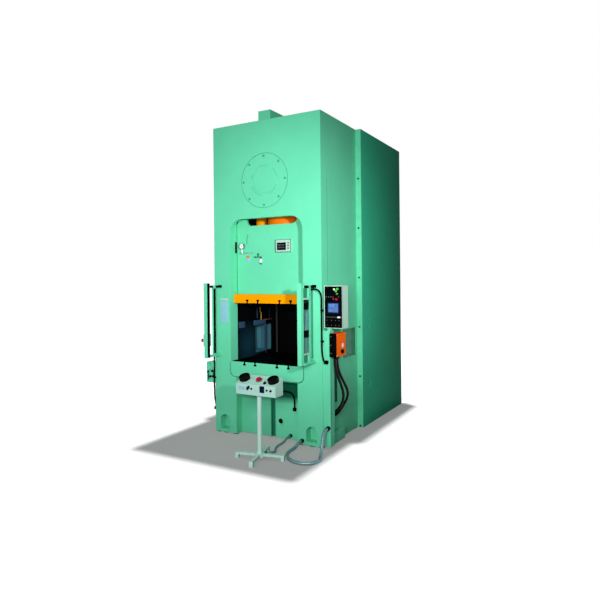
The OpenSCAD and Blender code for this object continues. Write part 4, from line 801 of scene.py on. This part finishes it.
def make_control_panel():
    """The black panel of the control box, with its lamps, screen and keypad."""
    low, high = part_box("control_box")
    face = low.y
    plates("panel_plate", "black", face, 0.0016, (low.x + 0.012, 1.102, 1.492, 1.996), bevel=0.0008)
    plates("screen_frame", "navy", face, 0.004, (0.905, 1.066, 1.666, 1.8), bevel=0.002)
    plates("screen", "screen", face, 0.0052, (0.919, 1.051, 1.681, 1.787), bevel=0.0006)
    plates("screen_light_fields", "screen_light", face, 0.0058, (0.925, 0.965, 1.75, 1.78),
           (0.972, 1.0, 1.75, 1.78), (0.925, 0.955, 1.69, 1.712), bevel=0.0002)
    plates("screen_dark_fields", "screen_dark", face, 0.0058, (1.008, 1.045, 1.738, 1.78),
           (0.962, 1.045, 1.72, 1.732), (0.985, 1.045, 1.69, 1.708), bevel=0.0002)
    for name, look, x, z, radius, length in (
            ("white", "white_lens", 1.0, 1.96, 0.013, 0.012),
            ("green", "dull_green_lens", 1.038, 1.906, 0.013, 0.01),
            ("bright", "green_lens", 1.022, 1.94, 0.015, 0.01),
            ("red", "red_lens", 0.988, 1.842, 0.012, 0.008)):
        studs("panel_lamp_" + name, look, face, radius, length, (x, z))
    bezels("panel_bezels", "black", face - 0.002, 0.0018, 36,
           (1.0, 1.96, 0.016), (1.038, 1.906, 0.016), (1.022, 1.94, 0.018), (0.988, 1.842, 0.015),
           (1.048, 1.965, 0.019), (1.033, 1.84, 0.019), (0.915, 1.955, 0.017), (0.955, 1.955, 0.017))
    studs("panel_dark_buttons", "black", face, 0.013, 0.012, (0.915, 1.955), (0.955, 1.955), bevel=0.003)
    studs("panel_indicators", "key", face, 0.006, 0.005,
          *[(x, 1.868) for x in (0.893, 0.925, 0.955, 0.985, 1.058)], bevel=0.001)
    plates("panel_light_line", "key", face, 0.0024, (0.884, 1.04, 1.62, 1.6245), bevel=0.0004)
    plates("panel_light_segment", "white", face, 0.003, (1.04, 1.078, 1.614, 1.63))
    plates("panel_keys", "black", face, 0.0045, *[
        (x - 0.007, x + 0.007, z - 0.007, z + 0.007) for z in (1.583, 1.553, 1.523)
        for x in (0.903, 0.94, 0.96, 1.0, 1.016, 1.062)], bevel=0.0015)
    dots = [(x, face - 0.004, z) for z in (1.583, 1.523) for x in (0.903, 0.96, 1.016, 1.062)]
    discs("panel_key_dots", dots, FORWARD, 0.0045, 0.0012, "key", bevel=0.0003)
    side = high.x
    blocks("panel_hinges", [((low.x - 0.004, face + 0.012, z - 0.03), (low.x + SKIN, face + 0.03, z + 0.03))
            for z in (1.58, 1.91)], "steel", bevel=0.002)
    side_line("panel_door_joint", side, face + 0.02, face + 0.0235, 1.488, 2.002)
    blocks("panel_latches", [((side - SKIN, face + 0.035, z - 0.02), (side - 0.0002, face + 0.06, z + 0.02))
            for z in (1.58, 1.91)], "black", bevel=0)


def make_isolator():
    """The isolator's black face with its screws, and the dial and ring at its knob."""
    low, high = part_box("isolator_box")
    blocks("isolator_face", [((low.x - 0.001, low.y - 0.0015, low.z - 0.001),
            (high.x + 0.001, low.y + 0.01, high.z + 0.001))], "black")
    hex_bolts("isolator_screws", [(low.x + 0.022, low.y - 0.0012, z) for z in (1.18, 1.28, 1.385)], FORWARD,
            0.007, "steel", washer=False)
    discs("isolator_dial", [(high.x - SKIN, -0.35, 1.262)], RIGHT, 0.029, 0.0022, "white", bevel=0.0005,
          sides=48)
    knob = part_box("isolator_knob")
    middle = (knob[0] + knob[1]) / 2
    bm = bmesh.new()
    ring(bm, (high.x + 0.001, middle.y, middle.z), RIGHT, 0.029, 0.0022, sides=48)
    form("isolator_knob_ring", bm, "black")
    corners = [(high.x - SKIN, y, z) for y in (low.y + 0.018, high.y - 0.018)
            for z in (low.z + 0.018, high.z - 0.018)]
    discs("isolator_cover_screws", corners, RIGHT, 0.006, 0.003, "steel", bevel=0.0008, sides=16)


def make_console():
    """Bezels, switches and plates of the pedestal's console."""
    across = Vector(RIGHT)
    rise = CONSOLE_UP.cross(across)
    turn = Matrix((across, rise, CONSOLE_UP)).transposed().to_4x4()

    def on_top(u, v, n=0.0):
        """A place on the sloping top: u to the right of its middle, v up the slope, n above it."""
        return CONSOLE_TOP + across * u + rise * v + CONSOLE_UP * n

    bm = bmesh.new()
    ring(bm, on_top(0, 0, 0.001), CONSOLE_UP, 0.037, 0.003, sides=48)
    ring(bm, on_top(0.105, -0.045, 0.001), CONSOLE_UP, 0.019, 0.0025, sides=36)
    form("console_bezels", bm, "black")
    bm = bmesh.new()
    add_block(bm, (-0.024, -0.034, -SKIN), (0.024, 0.034, 0.0016), 0.0006,
            Matrix.Translation(on_top(-0.095, 0.0)) @ turn)
    form("console_top_plate", bm, "box")
    corners = [on_top(u, v, -SKIN) for u in (-0.262, 0.262) for v in (-0.078, 0.078)]
    discs("console_lid_screws", corners, CONSOLE_UP, 0.0045, 0.0025, "steel", bevel=0.0006, sides=14)
    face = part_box("console_box")[0].y
    plates("console_pale_switches", "pale_bar", face, 0.008, (0.118, 0.15, 0.812, 0.846),
           (0.164, 0.198, 0.808, 0.842), bevel=0.002)
    plates("console_rockers", "navy", face, 0.01, (0.226, 0.246, 0.806, 0.848), (0.247, 0.266, 0.822, 0.86),
           bevel=0.003)
    studs("console_dots", "black", face, 0.011, 0.009, (0.292, 0.826), bevel=0.002)
    plates("console_front_plate", "box", face, 0.0016, (0.334, 0.372, 0.792, 0.834), bevel=0.0005)
    plates("console_switch_bank", "navy", face, 0.009, *[
        (x, x + 0.022, z, z + 0.02) for x in (0.41, 0.44) for z in (0.797, 0.82, 0.843)], bevel=0.003)
    plates("console_switch_base", "black", face, 0.003, (0.405, 0.468, 0.792, 0.868))
    studs("console_green_dot", "line_green", face, 0.013, 0.01, (0.502, 0.826), bevel=0.003)
    studs("console_round_switch", "black", face, 0.013, 0.012, (0.556, 0.824), bevel=0.003)
    bezels("console_front_bezels", "steel", face - 0.001, 0.0018, 32,
           (0.292, 0.826, 0.0135), (0.502, 0.826, 0.016), (0.556, 0.824, 0.016))
    blocks("console_base_flange", [((0.285, -1.265, 0.7445), (0.405, -1.145, 0.7525))], "pale", bevel=0.002)


def make_guards():
    """Fittings on the light guards: light strips, caps, brackets and bolts, and a sheet of painted shade
    behind the bars.
    """
    low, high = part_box("light_bars")
    blocks("bar_caps", [((low.x - 0.001, low.y - 0.001, z0), (high.x + 0.001, high.y - 0.0005, z1))
            for z0, z1 in ((1.722, 1.812), (1.384, 1.474), (high.z - 0.012, high.z + 0.006),
                           (low.z - 0.006, low.z + 0.012))], "black", bevel=0.002)
    blocks("bar_window", [((low.x - 0.0012, low.y + 0.02, 1.49), (low.x + SKIN, high.y - 0.02, 1.7)),
                          ((high.x - SKIN, low.y + 0.02, 1.49), (high.x + 0.0012, high.y - 0.02, 1.7))],
           "bar_blue", bevel=0.0005)
    # A dark green sheet of painted shade, where the upright is seen in shadow between channel and post
    blocks("bar_backing", [((low.x - 0.001, low.y - 0.001, 1.09), (low.x + 0.0015, high.y - 0.001, 1.975))],
           "shade_green", bevel=0)
    blocks("bar_brackets", [((high.x - 0.001, -0.84, z - 0.009), (high.x + 0.006, -0.715, z + 0.009))
            for z in (1.852, 1.19)], "box", bevel=0.002)
    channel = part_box("light_channels")
    strips = []
    for side in (-1, 1):
        x0, x1 = sorted((side * (channel[1].x - 0.014), side * (channel[1].x - 0.005)))
        strips.append(((x0, channel[0].y + 0.014, 1.15), (x1, channel[1].y - 0.014, 1.94)))
    blocks("channel_light_strips", strips, "black", bevel=0.002)
    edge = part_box("guard_frames")[1].x
    for side, name in ((-1, "left"), (1, "right")):
        hex_bolts("post_bolts_" + name, [(side * edge, -0.6845, z) for z in (1.13, 1.4, 1.9)],
                (side, 0, 0), 0.012, "steel")
    plates("guard_feet", "guard_green", FRONT, 0.008, *[
        (side * 0.73 - 0.024, side * 0.73 + 0.024, z0, z1)
        for side in (-1, 1) for z0, z1 in ((1.042, 1.098), (1.967, 2.023))])
    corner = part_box("side_stop_box")[0]
    blocks("side_stop_plate", [((corner.x - 0.0003, corner.y + 0.003, 1.211),
            (corner.x + 0.0006, corner.y + 0.01, 1.351))], "white", bevel=0)


def make_junction_box():
    """Lid, strap and small fittings of the junction box at the left."""
    low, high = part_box("junction_box")
    plates("junction_lid", "green", low.y, 0.003,
           (low.x + 0.006, high.x - 0.006, low.z + 0.006, high.z - 0.006), bevel=0.0015)
    discs("junction_fittings", [(x, low.y - 0.002, z) for x, z in (
        (-0.962, 0.81), (-0.924, 0.745), (-0.877, 0.749), (-0.891, 0.822))], FORWARD, 0.017, 0.016, "black",
          bevel=0.003)
    bm = bmesh.new()
    ring(bm, (-0.924, low.y - 0.004, 0.79), FORWARD, 0.048, 0.004, 30, 260, 60)
    add_block(bm, (-0.967, low.y - 0.009, 0.7), (-0.95, low.y - 0.0025, 0.785), 0.002)
    form("junction_strap", bm, "black")


def make_sides():
    """Grooves, handles and bolts on the frame's right side and the enclosure, and the duct's fittings."""
    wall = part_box("enclosure_right")[1].x
    side_line("side_panel_groove", SIDE, -0.372, -0.368, 2.05, 3.36)
    side_line("enclosure_seam", -wall, 1.34, 1.344, 0.03, 4.15)
    bm = bmesh.new()
    for z0, z1, y in ((1.39, 1.5, 0.759), (0.55, 0.635, 0.772)):
        for z in (z0, z1):
            add_disc(bm, (wall - SKIN, y, z), RIGHT, 0.005, 0.022, 0.001, 12)
        add_disc(bm, (wall + 0.02, y, z0 - 0.005), UP, 0.005, z1 - z0 + 0.01, 0.001, 12)
    form("enclosure_handles", bm, "sheet_green")
    for side, name in ((1, "right"), (-1, "left")):
        hex_bolts("enclosure_bolts_" + name, [(side * wall, y, z) for z in (0.12, 1.1, 2.08, 3.06, 4.04)
                                            for y in (0.6, 1.3, 1.4, 2.09)],
                (side, 0, 0), 0.009, "sheet_green")
    low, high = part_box("duct_post")
    hex_bolts("duct_screws", [(x, low.y, z) for x in (0.845, 0.92) for z in (0.45, 0.86, 1.27)], FORWARD,
            0.006, "steel", washer=False)
    side_line("duct_cover_edge", high.x, low.y + 0.012, low.y + 0.015, 0.28, 1.47)


def make_rear():
    """Louvred vents with painted shade behind their louvres, bolts on the enclosure's rear, and the ribs of
    its door.
    """
    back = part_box("enclosure_right")[1].y + REAR_SHEET
    for name, x0, x1, z0, z1 in (("vent_upper", -0.42, 0.42, 3.25, 3.75),
            ("vent_lower", 0.5, 0.82, 0.35, 0.85)):
        heights = [z0 + LOUVRE_PITCH * (i + 0.8) for i in range(round((z1 - z0) / LOUVRE_PITCH) - 1)]
        bm = bmesh.new()
        add_block(bm, (x0, back - SKIN, z0), (x1, back + 0.0015, z1), 0.0005)
        for z in heights:
            add_block(bm, (x0 + 0.03, -0.0012, -0.013), (x1 - 0.03, 0.0012, 0.013), 0.0005,
                    Matrix.Translation((0, back + 0.005, z)) @ Matrix.Rotation(LOUVRE_TILT, 4, "X"))
        form(name, bm, "sheet_green")
        # Near black strips of painted shade in the vents' openings behind the louvres
        blocks(name + "_slots", [((x0 + 0.03, back + 0.0012, z - 0.006), (x1 - 0.03, back + 0.0022, z + 0.01))
                for z in heights], "black", bevel=0)
    hex_bolts("rear_bolts", [(x, back, z) for x in (-0.86, 0.86) for z in (0.15, 1.1, 2.05, 3.0, 4.0)],
            REARWARD, 0.01, "sheet_green")
    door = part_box("rear_door")
    face = back + 0.002
    blocks("door_rib", [((door[0].x + 0.05, face - SKIN, z), (door[1].x - 0.05, face + 0.004, z + 0.03))
            for z in (0.2, 2.02)], "sheet_green", "door")


def on_cheek(rise, *spans):
    """Boxes on the left upright's inner face, each given by its ends along Y and Z."""
    return [((CHEEK, y0, z0), (CHEEK + rise, y1, z1)) for y0, y1, z0, z1 in spans]


def make_die_space():
    """Items in the dark of the die space: a slot, bars and small tool parts on the left upright's cheek."""
    # A flat near black plate: painted shade where the cheek's slot is
    blocks("cheek_slot", on_cheek(0.0012, (-0.415, -0.375, 2.45, 2.603)), "black", bevel=0)
    blocks("cheek_bar_yellow", on_cheek(0.003, (0.176, 0.196, 1.6, 1.68), (0.2, 0.225, 1.49, 1.6)),
           "yellow_bar")
    blocks("cheek_bars_blue", on_cheek(0.003, (0.1, 0.118, 1.52, 1.68), (0.427, 0.442, 1.47, 1.665)),
           "blue_grey")
    blocks("cheek_rail_brown", on_cheek(0.02, (0.289, 0.482, 1.478, 1.494)), "brown", bevel=0.002)
    blocks("cheek_rail_blue", on_cheek(0.015, (0.014, 0.315, 1.422, 1.492))
           + on_cheek(0.01, (-0.352, -0.211, 1.41, 1.495)), "blue_grey", bevel=0.003)
    blocks("feed_bar", [((-0.58, 0.308, 1.036), (-0.568, 0.356, 1.404))], "blue_grey", bevel=0.002)
    blocks("rear_bar", [((-0.47, 0.47, 0.96), (-0.444, 0.48, 1.72))], "grey_bar", bevel=0.002)
    wire("feed_wire", [(-0.562, 0.332, 1.4), (-0.561, 0.331, 1.28), (-0.562, 0.333, 1.14),
            (-0.561, 0.332, 0.99)], 0.02, 0.004, "grey_bar")


def make_bed_front():
    """A dark line along the edge of the bolster's apron, a seam that swells into painted shade at its lower
    right, and the rim of the bed's hole.
    """
    sides = (0.97, 0.9, APRON_Z)
    corner = [(APRON_CORNER * (1 - math.cos(a)), APRON_Z - APRON_CORNER * math.sin(a))
            for a in (math.radians(d) for d in (15, 30, 45, 60, 75))]
    edge = [(APRON_RIGHT, z) for z in sides] + [(APRON_RIGHT - u, z) for u, z in corner]
    edge += [(x, APRON_Z - APRON_CORNER) for x in (0.486, 0.4, 0.2, 0.0, -0.2, -0.4, -0.496)]
    edge += [(APRON_LEFT + u, z) for u, z in reversed(corner)] + [(APRON_LEFT, z) for z in reversed(sides)]
    edge = [(x, FRONT - 0.0015, z) for x, z in edge]
    path = spline(edge, 0.01)
    # Painted shade: the line thickens towards the apron's lower right corner
    boldest = Vector(edge[6])
    bold = [APRON_LINE_RADIUS + APRON_LINE_RADIUS * max(0.0, 1 - (point - boldest).length / BOLD_REACH)
            for point in path]
    piece("apron_groove", tube_mesh("apron_groove", path, lambda i: bold[i], 8), "line_green")
    discs("bed_hole_rim", [(0.147, -0.4146, 0.23)], FORWARD, 0.032, 0.0016, "black", bevel=0.0004)


for make in (make_crown, make_front_plates, make_gauge, make_indicator, make_control_panel, make_isolator,
        make_console, make_guards, make_junction_box, make_sides, make_rear, make_die_space, make_bed_front):
    make()

# Stage and light

FLOOR_WHITE = (0.35, 0.35, 0.35, 1)
FLOOR_BOUNCE = (0.1, 0.1, 0.1, 1)
FLOOR_HALF = 60
SHADOW_LEVEL = 0.21
LIT_FLOOR = (4.5, 9.0)
SKY = 0.23
SKY_SLOPE = (-0.18, -0.26, 0.0)
KEY_WATTS = 234
SIDE_WATTS = 1050
REAR_WATTS = 300
SHADOW_WATTS = 23000
FLOOR_SHADOW_NODES = ("frame", "enclosure_left", "enclosure_right", "enclosure_rear", "enclosure_roof",
        "junction_box", "levelling_pads")


def seen_directly(tree):
    """1 for camera, glossy and transmission rays, which see the plain white background."""
    paths = add_node(tree, "ShaderNodeLightPath").outputs
    either = calculate(tree, "MAXIMUM", paths["Is Camera Ray"], paths["Is Glossy Ray"])
    return calculate(tree, "MAXIMUM", either, paths["Is Transmission Ray"])


def make_stage():
    """A plain floor that shows white to the camera and takes only the high lamp's shadow."""
    floor_mesh = bpy.data.meshes.new("floor")
    bm = bmesh.new()
    bmesh.ops.create_grid(bm, x_segments=1, y_segments=1, size=FLOOR_HALF)
    bm.to_mesh(floor_mesh)
    bm.free()
    floor = add_object("floor", floor_mesh)
    s = Shader(WHITE, 1.0)
    seen = seen_directly(s.tree)
    s.fix("Emission Color", WHITE)
    s.fix("Specular IOR Level", 0.0)
    s.feed("Base Color", s.blend(seen, FLOOR_BOUNCE, FLOOR_WHITE))
    away = s.node("ShaderNodeVectorMath", {0: s.place}, operation="LENGTH").outputs["Value"]
    s.feed("Emission Strength", s.both(seen, s.ramp(away, SHADOW_LEVEL, 1.0, *LIT_FLOOR)))
    floor_mesh.materials.append(s.material)
    return floor


def make_world():
    """White to the camera; to the object a soft sky, brighter ahead of the press than at its right."""
    world = bpy.data.worlds.new("studio")
    world.use_nodes = True
    scene.world = world
    tree = world.node_tree
    aim = add_node(tree, "ShaderNodeTexCoord").outputs["Generated"]
    slope = add_node(tree, "ShaderNodeVectorMath", {0: aim, 1: SKY_SLOPE}, operation="DOT_PRODUCT")
    sky = add_node(tree, "ShaderNodeMath", {0: slope.outputs["Value"], 1: SKY}, operation="ADD",
            use_clamp=True)
    level = add_node(tree, "ShaderNodeMapRange",
            {"Value": seen_directly(tree), "To Min": sky.outputs[0], "To Max": 1.0})
    background = tree.nodes["Background"]
    tree.links.new(level.outputs[0], background.inputs["Strength"])
    background.inputs["Color"].default_value = WHITE


def lamp(name, kind, place, target, energy, size, **settings):
    """A lamp at a place, aimed at a target."""
    data = bpy.data.lights.new(name, kind)
    data.energy = energy
    if kind == "AREA":
        data.size = size
    else:
        data.shadow_soft_size = size
    for key, value in settings.items():
        setattr(data, key, value)
    made = add_object(name, data)
    made.matrix_world = Matrix.Translation(place) @ (
        Vector(target) - Vector(place)).to_track_quat("-Z", "Y").to_matrix().to_4x4()
    return made


def link_to_floor(light, floor, included):
    """Limits a lamp to the floor, or keeps the floor out of it."""
    group = bpy.data.collections.new(light.name + " receivers")
    light.light_linking.receiver_collection = group
    group.objects.link(floor)
    if not included:
        group.collection_objects[0].light_linking.link_state = "EXCLUDE"


def make_lights(floor):
    """A key beside the camera, a spot from the right, a weak rear lamp and the floor's high shadow lamp."""
    key = lamp("key", "AREA", (3.0, -6.4, 2.5), (0.0, -0.5, 2.0), KEY_WATTS, 1.6)
    side = lamp("side", "SPOT", (4.4, -4.6, 2.8), (0.4, -0.6, 2.4), SIDE_WATTS, 0.12,
            spot_size=math.radians(42), spot_blend=1.0)
    rear = lamp("rear", "AREA", (-5.0, 6.5, 4.5), (0.0, 1.0, 2.0), REAR_WATTS, 3.0)
    shadow = lamp("shadow", "POINT", (0.25, 2.2, 14.2), (0, 0, 0), SHADOW_WATTS, 0.22)
    for light in (key, side, rear):
        link_to_floor(light, floor, False)
    link_to_floor(shadow, floor, True)
    blockers = bpy.data.collections.new("floor shadow casters")
    shadow.light_linking.blocker_collection = blockers
    for name in FLOOR_SHADOW_NODES:
        blockers.objects.link(bpy.data.objects[name])


make_world()
make_lights(make_stage())
scene.view_settings.view_transform = "Standard"
